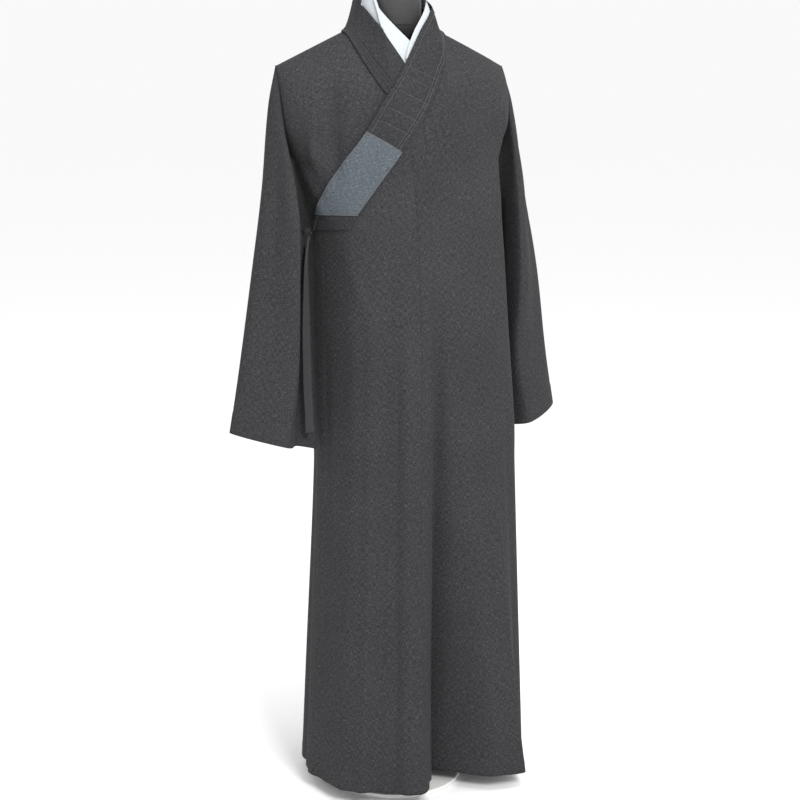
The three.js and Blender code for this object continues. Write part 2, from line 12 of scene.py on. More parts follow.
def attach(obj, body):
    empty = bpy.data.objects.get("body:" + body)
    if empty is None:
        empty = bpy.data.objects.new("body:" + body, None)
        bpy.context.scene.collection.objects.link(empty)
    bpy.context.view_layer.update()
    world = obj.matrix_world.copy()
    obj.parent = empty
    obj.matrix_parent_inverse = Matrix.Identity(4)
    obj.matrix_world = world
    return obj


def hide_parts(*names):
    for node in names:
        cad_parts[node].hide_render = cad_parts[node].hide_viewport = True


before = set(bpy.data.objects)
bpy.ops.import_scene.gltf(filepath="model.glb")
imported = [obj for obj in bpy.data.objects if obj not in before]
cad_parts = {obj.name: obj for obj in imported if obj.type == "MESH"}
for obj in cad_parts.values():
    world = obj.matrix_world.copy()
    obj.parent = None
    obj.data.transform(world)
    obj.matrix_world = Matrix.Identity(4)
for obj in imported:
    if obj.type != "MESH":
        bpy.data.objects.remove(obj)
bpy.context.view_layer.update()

# ---------------------------------------------------------------- sizes, in millimetres
CLOTH = 1.5
HEM_Z = 30.0
ARMPIT_Z = 1190.0
SHOULDER_X, SHOULDER_Y, SHOULDER_Z = 224.0, 17.0, 1355.0
SHOULDER_SLOPE = 0.462
NECK_X = 92.0
COLLAR_TOP_X, COLLAR_TOP_Z = 52.0, 1501.0
GIRTH_Y = 10.0
ARM_X = 206.0
UNDERLAY = 4.2                     # how far the right front sinks under the lap
RIDGE_LEVEL = 0.994

GIRTH_ANGLES = np.array([-160, -135, -112, -90, -72, -55, -38, -18, 0, 18, 38, 52, 63, 76, 90, 112, 135, 160,
                         180.0])
GIRTH_HEIGHTS = np.array([30, 235, 625, 705, 885, 1045, 1190.0])
GIRTHS = np.array([
    [188, 184, 177, 178, 180, 180, 178, 180, 182, 196, 236, 256, 252, 238, 220, 204, 196, 190, 187],
    [172, 170, 168, 166, 167, 166, 164, 166, 167, 180, 216, 238, 243, 228, 205, 188, 178, 172, 172],
    [150, 150, 150, 149, 150, 151, 151, 151, 150, 157, 187, 217, 227, 196, 168, 156, 154, 150, 149],
    [146, 150, 153, 151, 149, 150, 150, 150, 148, 154, 182, 214, 225, 186, 157, 150, 151, 147, 146],
    [134, 148, 160, 155, 149, 149, 146, 142, 140, 146, 170, 198, 212, 180, 156, 145, 141, 136, 130],
    [118, 144, 165, 159, 153, 154, 144, 134, 130, 138, 160, 184, 201, 184, 166, 152, 138, 120, 112],
    [112, 138, 172, 196, 190, 172, 146, 130, 126, 130, 146, 168, 187, 194, 198, 172, 138, 112, 106.0]])

# Folds: angle at the start and at the hem, half widths in degrees there, starting height, rise at the hem
# (negative for a trough) and the power by which it grows downwards. The solids have these same folds.
FOLDS = [
    (9, 19, 4, 12, 995, -108, 1.25), (2, 3, 4, 5, 800, -22, 1.25), (27, 31, 4, 5, 700, -24, 1.25),
    (39, 46, 2.8, 3.6, 965, 9, 0.8), (-27, -35, 7, 9, 1105, -9, 0.35), (-14, -16, 5, 6, 1085, 5, 0.4),
    (-52, -57, 6, 7, 985, 6, 0.6), (-78, -78, 4, 5, 885, -6, 0.6), (92, 96, 7, 9, 685, -24, 1),
    (116, 118, 6, 8, 985, 14, 1), (140, 140, 6, 8, 1025, -30, 1), (160, 162, 5, 7, 985, 12, 1),
    (180, 180, 5, 6, 1045, -18, 0.9), (-162, -160, 5, 7, 985, 14, 1), (-140, -140, 6, 8, 1025, -28, 1),
    (-118, -116, 6, 8, 985, 3, 1)]

# Armhole's edge by height: its x, and its y in front (False) and behind (True).
ARMHOLE_Z = np.array([1190, 1219, 1247, 1286, 1325, SHOULDER_Z])
ARMHOLE_X = np.array([198, 213, 221, 222, 223, SHOULDER_X])
ARMHOLE_Y = {False: np.array([10, 12, 2, -4, 3, SHOULDER_Y]),
             True: np.array([10, 12, 26, 38, 31, SHOULDER_Y])}

SLEEVE_RINGS = np.array([
    [[238, 8, 1297], [224, -36, 1210], [214, -8, 1190], [206, 8, 1181], [226, 48, 1225]],
    [[257, -6, 1150], [219, -70, 1100], [208, -14, 1086], [197, 2, 1080], [230, 50, 1110]],
    [[283, -12, 995], [223, -76, 970], [206, -12, 960], [188, 0, 953], [238, 48, 975]],
    [[308, -12, 843], [224, -66, 824], [205, -10, 812], [180, -2, 805], [243, 46, 826]],
    [[331, -10, 715], [248, -74, 693], [206, -16, 680], [178, -10, 672], [246, 44, 695.0]]])
# Inner points of the right sleeve. The upper two lie closer to the body than the solid's own.
RIGHT_INNER = np.array([[204, 14, 1181], [179, 14, 1080], [172, 6, 953], [166, 4, 805], [163, -2, 668.0]])
RING_ANGLES = np.array([0, 85, 140, 185, 275.0])
CUFF_Z = 715.0

# Collar stations: angle and height of the seamed edge, then of the free edge.
BAND_LEFT = np.array([
    [37.2, 1425, 25, 1485], [36.4, 1406, 22.5, 1452], [32, 1397, 16.5, 1436], [28, 1386, 9.5, 1417],
    [24.5, 1362, 0.5, 1389], [20, 1335, -8.6, 1362], [12, 1304, -17, 1336], [2.5, 1268, -28, 1302],
    [-10.5, 1235, -37, 1266], [-19.2, 1206, -42.5, 1244], [-29.5, 1174, -50.5, 1213], [-39, 1140, -59, 1177],
    [-45, 1116, -68, 1143], [-48.5, 1102, -78, 1102], [-54, 1075, -85.5, 1071]])
BAND_RIGHT = np.array([
    [-37.2, 1425, -25, 1485], [-39, 1404, -25.5, 1448], [-37.5, 1382, -24, 1430], [-35.5, 1354, -21, 1409],
    [-31, 1329, -15, 1385], [-27, 1307, -9, 1362], [-20, 1285, -5, 1337], [-12.5, 1275, -4, 1305.0]])
BAND_BACK = np.array([
    [139.5, 1425, 151, 1485], [146, 1409, 158, 1466], [160, 1403, 168, 1463], [180, 1401, 180, 1463],
    [200, 1403, 192, 1463], [214, 1409, 202, 1466], [220.5, 1425, 209, 1485.0]])
GUARD_RIGHT = np.array([
    [-27, 1485, -23.6, 1501], [-26.5, 1438, -20.5, 1467], [-25, 1418, -14, 1444], [-22, 1396, -7, 1422],
    [-17, 1374, 1.3, 1401], [-11, 1353, 6, 1387], [-4, 1335, 11, 1375.0]])
GUARD_LEFT = np.array([
    [27.5, 1485, 24, 1501], [24.5, 1440, 19.5, 1457], [18.5, 1422, 12, 1439], [11, 1403, 4, 1414],
    [3, 1381, -2.5, 1391], [-4, 1362, -7, 1370.0]])
GUARD_BACK = np.array([
    [207.4, 1478, 205.4, 1497], [203, 1454, 201, 1475], [192, 1453, 191, 1473], [180, 1453, 180, 1471],
    [168, 1453, 169, 1471], [157, 1454, 158, 1471], [152.6, 1478, 154.6, 1497.0]])
PATCH_STATIONS = (8.9, 13.05)
QUILT_STATIONS = (5.2, 5.75, 6.5, 7.35, 8.05)
BAND_FACES, PATCH_FACES, GUARD_FACES = (2.0, 3.6), (4.4, 5.4), (-4.2, -3.0)

TIE_PATH = np.array([
    [-170, 4, 1058], [-175, 0, 1042], [-181, -8, 1015], [-185, -16, 975], [-187, -20, 930],
    [-188, -22, 885], [-188, -24, 835], [-188, -26, 785], [-187, -29, 743], [-187, -32, 707.0]])
TIE_WIDTH, TIE_THICK = 15.0, 2.4
TIE_TURN = (55.0, -20.0)
KNOT_AT, KNOT_R = np.array([-176, 0, 1068.0]), 5.5

LEFT_EDGE = np.array([[30, -9], [475, -15], [860, -11], [1045, -12], [1145, -18], [1225, -23], [1257, -11],
                      [1298, 14], [1327, 34], [1353, 52], [1383, 65], [1402, 80], [1412, 90], [1425, 92.5]])
RIGHT_EDGE = np.array([[30, -15], [475, -21], [860, -17], [1045, -18], [1247, -18], [1277, -32], [1303, -54],
                       [1330, -68], [1357, -78], [1385, -86], [1412, -91], [1425, -92.5]])
BACK_EDGE = np.array([[30, 0], [1405, 0], [1405, 30], [1407, 58], [1413, 88], [1425, 92.5]])
LAP_TOP = np.array([[1063, -164], [1085, -150], [1135, -118], [1185, -79], [1230, -38], [1243, -29.0]])
LAP_SIDE = np.array([[30, -89], [1063, -86.0]])

# ---------------------------------------------------------------- small mathematics
rad = np.radians


def smooth(x):
    """Eases from 0 to 1: three times the square less twice the cube."""
    t = np.clip(x, 0, 1)
    return t * t * (3 - 2 * t)


def mix(a, b, t):
    """Straight blend from a to b."""
    return a + (b - a) * t


def bell(x, width):
    """Bell curve: e to the minus square of x over width."""
    return np.exp(-(x / width) ** 2)


def turn_between(a, b):
    """Difference of two angles, from -180 to 180 degrees."""
    return (a - b + 180) % 360 - 180


def curve(knots, values, x):
    """Cubic through values at uneven knots, each knot's slope being that between its neighbours."""
    knots = np.asarray(knots, float)
    values = np.asarray(values, float)
    x = np.clip(np.asarray(x, float), knots[0], knots[-1])
    i = np.clip(np.searchsorted(knots, x, side="right") - 1, 0, len(knots) - 2)
    low = np.clip(np.arange(len(knots)) - 1, 0, None)
    high = np.clip(np.arange(len(knots)) + 1, None, len(knots) - 1)
    span = (knots[high] - knots[low]).reshape((-1,) + (1,) * (values.ndim - 1))
    slopes = (values[high] - values[low]) / span

    def pick(table, k):
        if table.ndim == 1:
            return table[k]
        return np.take_along_axis(table, k[None], axis=0)[0]

    h = knots[i + 1] - knots[i]
    t = (x - knots[i]) / h
    return ((2 * t ** 3 - 3 * t ** 2 + 1) * pick(values, i) + (t ** 3 - 2 * t ** 2 + t) * h * pick(slopes, i)
            + (3 * t ** 2 - 2 * t ** 3) * pick(values, i + 1) + (t ** 3 - t ** 2) * h * pick(slopes, i + 1))


def round_curve(angles, values, angle):
    """The same cubic round a full turn, two knots being repeated past each end."""
    wide = np.concatenate([angles[-2:] - 360, angles, angles[:2] + 360])
    full = np.concatenate([values[-2:], values, values[:2]])
    return curve(wide, full, (angle - angles[0]) % 360 + angles[0])


# ---------------------------------------------------------------- the garment surface
# Finer creases of the skirt, given as the folds are.
CREASES = [
    (-40, -44, 4, 5, 950, 7, 0.6), (-22, -24, 3.5, 4, 900, -7, 0.6), (-68, -70, 5, 6, 820, -3, 0.7),
    (-8, -8.5, 3, 3.5, 900, 5, 0.7), (52, 57, 3, 4, 860, -10, 0.7), (66, 70, 3.5, 4.5, 900, 6, 0.8),
    (20, 28, 3.5, 5.5, 950, -11, 0.8), (40, 47, 1.5, 1.8, 965, 6.5, 0.5), (35, 40, 2, 2.6, 850, -5, 0.8),
    (80, 83, 4, 5, 760, 6, 0.8), (106, 107, 3, 4, 900, -6, 0.9),
    (128, 129, 4, 5, 900, 7, 0.9), (150, 151, 3, 4, 850, -6, 0.9), (171, 171, 3, 4, 800, 6, 0.9),
    (-171, -171, 3, 4, 820, 6, 0.9), (-150, -151, 3, 4, 880, -6, 0.9), (-128, -129, 4, 5, 900, 7, 0.9),
    (-104, -105, 3, 4, 820, -5, 0.9)]


def girth_radius(angle, z):
    """Radius of the robe's section at a height: girth tables joined upwards, plus the bell of each fold and
    crease."""
    radii = np.array([round_curve(GIRTH_ANGLES, row, angle) for row in GIRTHS])
    r = curve(GIRTH_HEIGHTS, radii, z)
    for start_angle, end_angle, start_wide, end_wide, start, rise, power in FOLDS + CREASES:
        grown = np.clip((start - z) / (start - HEM_Z), 0, 1)
        centre = mix(start_angle, end_angle, grown)
        width = mix(start_wide, end_wide, grown)
        r = r + rise * grown ** power * bell(turn_between(angle, centre), width)
    return r


def ridge_height(x):
    """Shoulder line: even slope to the neck, then a rising power curve to the collar's top."""
    out = np.abs(x)
    line = SHOULDER_Z + (SHOULDER_X - out) * SHOULDER_SLOPE
    foot = SHOULDER_Z + (SHOULDER_X - COLLAR_TOP_X) * SHOULDER_SLOPE
    rise = np.clip((NECK_X - out) / (NECK_X - COLLAR_TOP_X), 0, 1) ** 2.4
    return np.where(out <= COLLAR_TOP_X, COLLAR_TOP_Z, line + (COLLAR_TOP_Z - foot) * rise)


def armhole(side, back, z):
    """Point of the armhole's edge at a height: cubics through its own table."""
    y = np.where(back, curve(ARMHOLE_Z, ARMHOLE_Y[True], z), curve(ARMHOLE_Z, ARMHOLE_Y[False], z))
    return side * curve(ARMHOLE_Z, ARMHOLE_X, z), y


def garment(angle, level, back):
    """Surface point. Below the armpit it is the girth section. Above, the section leans to the shoulder line
    by the cosine of the level and lifts by its sine, and near the arm it is drawn to the armhole's edge."""
    angle, level, back = np.broadcast_arrays(np.asarray(angle, float), np.asarray(level, float), back)
    r = girth_radius(angle, ARMPIT_Z + np.minimum(level, 0))
    x0 = r * np.sin(rad(angle))
    y0 = GIRTH_Y - r * np.cos(rad(angle))
    up = np.clip(level, 0, 1)
    lift = np.sin(up * np.pi / 2)
    lean = np.cos(up * np.pi / 2)
    spread = 1 + (SHOULDER_X / ARM_X - 1) * lift ** 2
    x = x0 * spread
    fullness = np.where(back, 1 - 0.24 * bell(x, 75), 1 + 0.7 * bell(x, 70))
    y = SHOULDER_Y + (y0 - SHOULDER_Y) * np.maximum(lean, 0) ** fullness
    z = ARMPIT_Z + (ridge_height(x) - ARMPIT_Z) * lift
    side = np.where(turn_between(angle, 0) < 0, -1.0, 1.0)
    near = smooth(1 - np.abs(np.abs(turn_between(angle, 0)) - 90) / 42) * (level > 0)
    edge_z = ARMPIT_Z + (SHOULDER_Z - ARMPIT_Z) * lift
    edge_x, edge_y = armhole(side, back, edge_z)
    own = girth_radius(90 * side, np.full_like(angle, ARMPIT_Z)) * side * spread
    own_y = SHOULDER_Y + (GIRTH_Y - SHOULDER_Y) * lean
    own_z = ARMPIT_Z + (ridge_height(own) - ARMPIT_Z) * lift
    shaped = np.stack([x + near * (edge_x - own), y + near * (edge_y - own_y),
                       z + near * (edge_z - own_z)], -1)
    plain = np.stack([x0, y0, ARMPIT_Z + level], -1)
    return np.where((level > 0)[..., None], shaped, plain)


def behind(angle):
    """Whether an angle is on the back."""
    return np.abs(turn_between(angle, 0)) > 90


def level_at(angle, z):
    """Level at which the surface has a height, by halving."""
    low = np.zeros_like(angle)
    high = np.ones_like(angle)
    for _ in range(30):
        middle = (low + high) / 2
        under = garment(angle, middle, behind(angle))[..., 2] < z
        low = np.where(under, middle, low)
        high = np.where(under, high, middle)
    return np.where(z <= ARMPIT_Z, z - ARMPIT_Z, np.minimum(low, RIDGE_LEVEL))


def edge_angle(edge, level, inner, outer, side, back):
    """Angle at which a row of the surface crosses an edge given as x by height, by halving."""
    a = np.full_like(level, inner)
    b = np.full_like(level, outer)
    for _ in range(30):
        middle = (a + b) / 2
        p = garment(middle, level, back)
        inside = side * (p[..., 0] - curve(edge[:, 0], edge[:, 1], p[..., 2])) < 0
        a = np.where(inside, middle, a)
        b = np.where(inside, b, middle)
    return (a + b) / 2


def underlay(angle, level, back):
    """Give of the layers at the lap: the lap rises towards the side seam by an eased step of the angle, and
    the front beneath sinks by the rest of the layer depth, easing off at the shoulder."""
    turn = turn_between(angle, 0)
    lap = np.where(~back & (turn < 0), UNDERLAY * smooth((-turn - 58) / 28), 0)
    sunk = np.where(back, 0, UNDERLAY * (1 - smooth((level - 0.65) / 0.25)))
    return lap, np.minimum(lap - sunk, 0)


# Soft drag lines of the yoke and chest: two end points, half width, and height (negative for a trough).
# Every height is multiplied by DRAG_DEPTH.
DRAG_DEPTH = 1.5
DRAGS = [
    ((-186, 62, 1250), (-152, 74, 1030), 26, 7.5), ((-150, -60, 1330), (-160, -95, 1120), 15, -7.0),
    ((-178, -40, 1330), (-186, -60, 1130), 11, 5.0),
    ((-120, -80, 1340), (-128, -112, 1200), 16, 2.2), ((-70, -95, 1350), (-96, -118, 1180), 13, -1.8),
    ((112, -60, 1370), (84, -118, 1215), 16, -2.0), ((188, -60, 1300), (176, -92, 1130), 10, 6.0),
    ((160, -70, 1310), (150, -112, 1120), 13, -3.5), ((60, -105, 1300), (70, -130, 1120), 18, 2.0),
    ((30, -110, 1260), (34, -128, 1050), 13, -1.6), ((196, -20, 1190), (120, -130, 1020), 14, 2.6),
    ((-196, -10, 1190), (-150, -60, 1075), 12, 2.4), ((-140, -85, 1060), (-60, -128, 1010), 10, -2.4),
    ((-142, -75, 1040), (-90, -110, 880), 12, 2.2), ((-150, 70, 1330), (-120, 120, 1150), 16, 3.0),
    ((150, 70, 1330), (120, 120, 1150), 16, 3.0), ((-190, 50, 1290), (-176, 70, 1120), 13, -4.0),
    ((190, 50, 1290), (176, 70, 1120), 13, -4.0), ((-60, 90, 1370), (-40, 118, 1240), 18, -2.0),
    ((60, 90, 1370), (40, 118, 1240), 18, -2.0), ((-110, 100, 1180), (-60, 128, 1050), 16, 2.2),
    ((110, 100, 1180), (60, 128, 1050), 16, 2.2), ((150, -100, 960), (120, -135, 700), 14, 2.4),
    ((104, -135, 960), (86, -142, 720), 12, -2.2), ((-40, -138, 900), (-46, -142, 640), 13, 2.0),
    ((0, -130, 1180), (4, -134, 980), 10, 1.4), ((-84, -118, 1000), (-104, -118, 760), 11, -2.4)]


def segment_bells(points, lines):
    """Sum over lines of height times the bell of the distance to the line, each fading past its two ends."""
    total = np.zeros(points.shape[:-1])
    for start, end, width, height in lines:
        a = np.array(start, float)
        d = np.array(end, float) - a
        t = np.clip(((points - a) @ d) / (d @ d), 0, 1)
        gap = np.linalg.norm(points - (a + t[..., None] * d), axis=-1)
        total += height * bell(gap, width) * np.sin(np.pi * np.clip(t, 0.02, 0.98)) ** 0.6
    return total


def grid_normals(points, around=False):
    """Unit normals: cross product of the steps down the rows and along them."""
    down = np.gradient(points, axis=0)
    if around:
        along = (np.roll(points, -1, axis=1) - np.roll(points, 1, axis=1)) / 2
    else:
        along = np.gradient(points, axis=1)
    n = np.cross(down, along)
    return n / np.maximum(np.linalg.norm(n, axis=-1, keepdims=True), 1e-9)


def settled(angle, level, back, outward):
    """Surface points with the drag lines added along their normals, and the normals: the cross product of
    short steps round and up the surface, or of the grid's own steps close to the shoulder line, where outward
    is the sign that turns those out."""
    base = garment(angle, level, back)
    low = np.where(level <= 0, level - 3, np.maximum(level - 0.02, 0))
    high = np.where(level < -3, level + 3, np.minimum(np.maximum(level, 0) + 0.02, 1))
    up = garment(angle, high, back) - garment(angle, low, back)
    round_step = garment(angle + 0.7, level, back) - garment(angle - 0.7, level, back)
    n = np.cross(round_step, up)
    n /= np.maximum(np.linalg.norm(n, axis=-1, keepdims=True), 1e-9)
    own = grid_normals(base) * outward
    n = mix(n, own, smooth((level - 0.96) / 0.03)[..., None])
    n /= np.maximum(np.linalg.norm(n, axis=-1, keepdims=True), 1e-9)
    return base + n * segment_bells(base, DRAGS)[..., None] * DRAG_DEPTH, n


# ---------------------------------------------------------------- meshes
def finish_mesh(name, points, faces, uv=None, flat_from=None):
    """A mesh object from points in millimetres and a list of faces by index, with an optional map. It is
    shaded smooth, but for the faces from flat_from on, which are rims or caps."""
    mesh = bpy.data.meshes.new(name)
    mesh.from_pydata((np.asarray(points) / 1000).tolist(), [], faces)
    smoothed = np.ones(len(mesh.polygons), dtype=bool)
    if flat_from is not None:
        smoothed[flat_from:] = False
    mesh.polygons.foreach_set("use_smooth", smoothed)
    if uv is not None:
        layer = mesh.uv_layers.new(name="cloth")
        loops = np.empty(len(mesh.loops), dtype=np.int32)
        mesh.loops.foreach_get("vertex_index", loops)
        layer.data.foreach_set("uv", uv[loops].astype(np.float32).ravel())
    mesh.update()
    piece = bpy.data.objects.new(name, mesh)
    bpy.context.scene.collection.objects.link(piece)
    return piece


def cloth_map(points, around=False):
    """Thread-true map in metres: length along each row from its middle, and length down the columns."""
    along = np.linalg.norm(np.diff(points, axis=1), axis=-1)
    u = np.concatenate([np.zeros((len(points), 1)), np.cumsum(along, axis=1)], axis=1)
    if not around:
        u = u - u[:, [u.shape[1] // 2]]
    down = np.linalg.norm(np.diff(points, axis=0), axis=-1)
    v = np.concatenate([np.zeros((1, points.shape[1])), np.cumsum(down, axis=0)], axis=0)
    v = np.broadcast_to(v.mean(axis=1, keepdims=True), v.shape)
    return np.stack([u, v], -1) / 1000


def wall(name, points, normals, inner, outer, around=False):
    """Closed cloth wall: the grid moved along its normals by outer and by inner, joined by rims."""
    rows, width = points.shape[:2]
    outer = np.broadcast_to(outer, (rows, width))[..., None]
    inner = np.broadcast_to(inner, (rows, width))[..., None]
    both = np.concatenate([(points + normals * outer).reshape(-1, 3),
                           (points + normals * inner).reshape(-1, 3)])
    ids = np.arange(rows * width).reshape(rows, width)
    if around:
        ids = np.concatenate([ids, ids[:, :1]], axis=1)
    layer = rows * width
    quads = np.stack([ids[:-1, :-1], ids[1:, :-1], ids[1:, 1:], ids[:-1, 1:]], -1).reshape(-1, 4)
    faces = [quads, quads[:, ::-1] + layer]
    top, foot = ids[0], ids[-1]
    faces.append(np.stack([top[:-1], top[1:], top[1:] + layer, top[:-1] + layer], -1))
    faces.append(np.stack([foot[1:], foot[:-1], foot[:-1] + layer, foot[1:] + layer], -1))
    if not around:
        left, right = ids[:, 0], ids[:, -1]
        faces.append(np.stack([left[1:], left[:-1], left[:-1] + layer, left[1:] + layer], -1))
        faces.append(np.stack([right[:-1], right[1:], right[1:] + layer, right[:-1] + layer], -1))
    faces = np.concatenate(faces)
    a, b, c, d = (both[faces[:, k]] for k in range(4))
    if np.einsum("ij,ij->", (a + b + c + d) / 4, np.cross(c - a, d - b)) < 0:
        faces = faces[:, ::-1]
    uv = cloth_map(points, around).reshape(-1, 2)
    return finish_mesh(name, both, faces.tolist(), np.concatenate([uv, uv]), flat_from=2 * len(quads))


def lathe(name, profile, centre=(0, 0), count=96, depth=1.0):
    """Body turned about an upright axis: radius and height pairs, closed at each end by a point on it."""
    profile = np.array(profile, float)
    a = np.linspace(0, 2 * np.pi, count, endpoint=False)
    ring = np.stack([np.cos(a), np.sin(a) * depth], -1)
    xy = profile[:, None, :1] * ring[None] + np.array(centre)
    z = np.broadcast_to(profile[:, None, 1:], xy.shape[:2] + (1,))
    points = np.concatenate([xy, z], -1)
    return capped(name, points)


def capped(name, points):
    """Closed body through rings, with a fan to the middle of its first and its last ring."""
    rows, width = points.shape[:2]
    ids = np.arange(rows * width).reshape(rows, width)
    ids = np.concatenate([ids, ids[:, :1]], axis=1)
    quads = np.stack([ids[:-1, :-1], ids[:-1, 1:], ids[1:, 1:], ids[1:, :-1]], -1).reshape(-1, 4)
    low = np.stack([ids[0, 1:], ids[0, :-1], np.full(width, rows * width)], -1)
    high = np.stack([ids[-1, :-1], ids[-1, 1:], np.full(width, rows * width + 1)], -1)
    flat = np.concatenate([points.reshape(-1, 3), points[:1].mean(axis=1), points[-1:].mean(axis=1)])
    faces = quads.tolist() + low.tolist() + high.tolist()
    return finish_mesh(name, flat, faces, flat_from=len(quads))


def stitches(name, path, normals, length=3.4, gap=0.9, thick=0.55, lift=0.15):
    """A row of stitches: along the path each stitch is a six-sided spindle, its radius the sine of the way
    along it to a low power, laid half sunk in the cloth. All stitches are one mesh."""
    steps = np.linalg.norm(np.diff(path, axis=0), axis=1)
    at = np.concatenate([[0], np.cumsum(steps)])
    count = max(2, int(at[-1] / (length + gap)))
    starts = np.linspace(0, at[-1] - length, count)
    t = np.array([0.0, 0.15, 0.5, 0.85, 1.0])
    where = starts[:, None] + t[None] * length
    place = np.stack([np.interp(where, at, path[:, k]) for k in range(3)], -1)
    up = np.stack([np.interp(where, at, normals[:, k]) for k in range(3)], -1)
    up /= np.linalg.norm(up, axis=-1, keepdims=True)
    ahead = np.gradient(place, axis=1)
    ahead /= np.maximum(np.linalg.norm(ahead, axis=-1, keepdims=True), 1e-9)
    side = np.cross(ahead, up)
    radius = (thick * np.array([0.25, 0.85, 1.0, 0.85, 0.25]))[None, :, None, None]
    a = np.linspace(0, 2 * np.pi, 6, endpoint=False)
    ring = side[:, :, None] * np.cos(a)[:, None] + up[:, :, None] * np.sin(a)[:, None] * 0.8
    points = place[:, :, None] + ring * radius + up[:, :, None] * lift
    base = np.arange(count)[:, None, None] * 30 + np.arange(4)[None, :, None] * 6
    k = np.arange(6)[None, None]
    nxt = (k + 1) % 6
    quads = np.stack([base + k, base + nxt, base + 6 + nxt, base + 6 + k], -1).reshape(-1, 4)
    ends = np.arange(count)[:, None] * 30
    caps = np.concatenate([ends + np.arange(5, -1, -1)[None], ends + 24 + np.arange(6)[None]])
    faces = quads.tolist() + caps.tolist()
    return finish_mesh(name, points.reshape(-1, 3), faces)


def tube(name, path, radius, count=12, closed=False):
    """Round tube: a circle carried along a path, its frame turned as little as possible from an up vector."""
    ahead = np.gradient(path, axis=0)
    if closed:
        ahead = (np.roll(path, -1, axis=0) - np.roll(path, 1, axis=0)) / 2
    ahead /= np.linalg.norm(ahead, axis=1, keepdims=True)
    guide = path - path.mean(axis=0) + np.array([0.013, 0.007, 0.019])
    side = np.cross(ahead, guide)
    side /= np.linalg.norm(side, axis=1, keepdims=True)
    up = np.cross(side, ahead)
    a = np.linspace(0, 2 * np.pi, count, endpoint=False)
    points = path[:, None] + radius * (side[:, None] * np.cos(a)[:, None] + up[:, None] * np.sin(a)[:, None])
    if not closed:
        return capped(name, points)
    rows, width = points.shape[:2]
    ids = np.arange(rows * width).reshape(rows, width)
    ids = np.concatenate([ids, ids[:1]], axis=0)
    ids = np.concatenate([ids, ids[:, :1]], axis=1)
    quads = np.stack([ids[:-1, :-1], ids[:-1, 1:], ids[1:, 1:], ids[1:, :-1]], -1).reshape(-1, 4)
    return finish_mesh(name, points.reshape(-1, 3), quads.tolist())


# ---------------------------------------------------------------- materials
def linear(colour):
    """sRGB hex to linear: the standard curve with its straight foot."""
    c = np.array([int(colour[k:k + 2], 16) for k in (1, 3, 5)]) / 255
    c = np.where(c <= 0.04045, c / 12.92, ((c + 0.055) / 1.055) ** 2.4)
    return (*map(float, c), 1.0)


def start_material(name):
    """A material with its Principled shader and output, and the tree to add nodes to."""
    material = bpy.data.materials.new(name)
    material.use_nodes = True
    tree = material.node_tree
    return material, tree, tree.nodes["Principled BSDF"]


def node(tree, kind, settings=(), inputs=(), links=()):
    """Adds one node, sets its properties and sockets, and links other nodes' outputs to it."""
    made = tree.nodes.new(kind)
    for key, value in dict(settings).items():
        setattr(made, key, value)
    for key, value in dict(inputs).items():
        made.inputs[key].default_value = value
    for key, source in dict(links).items():
        tree.links.new(source, made.inputs[key])
    return made


def set_shader(shader, **values):
    """Sets the shader's own sockets, underscores standing for spaces."""
    for key, value in values.items():
        shader.inputs[key.replace("_", " ")].default_value = value


def ramp(tree, source, stops):
    """A colour ramp of hex stops at places from 0 to 1."""
    made = node(tree, "ShaderNodeValToRGB", links={"Fac": source})
    made.color_ramp.interpolation = "LINEAR"
    while len(made.color_ramp.elements) < len(stops):
        made.color_ramp.elements.new(0.5)
    for element, (place, colour) in zip(made.color_ramp.elements, stops):
        element.position = place
        element.color = linear(colour)
    return made


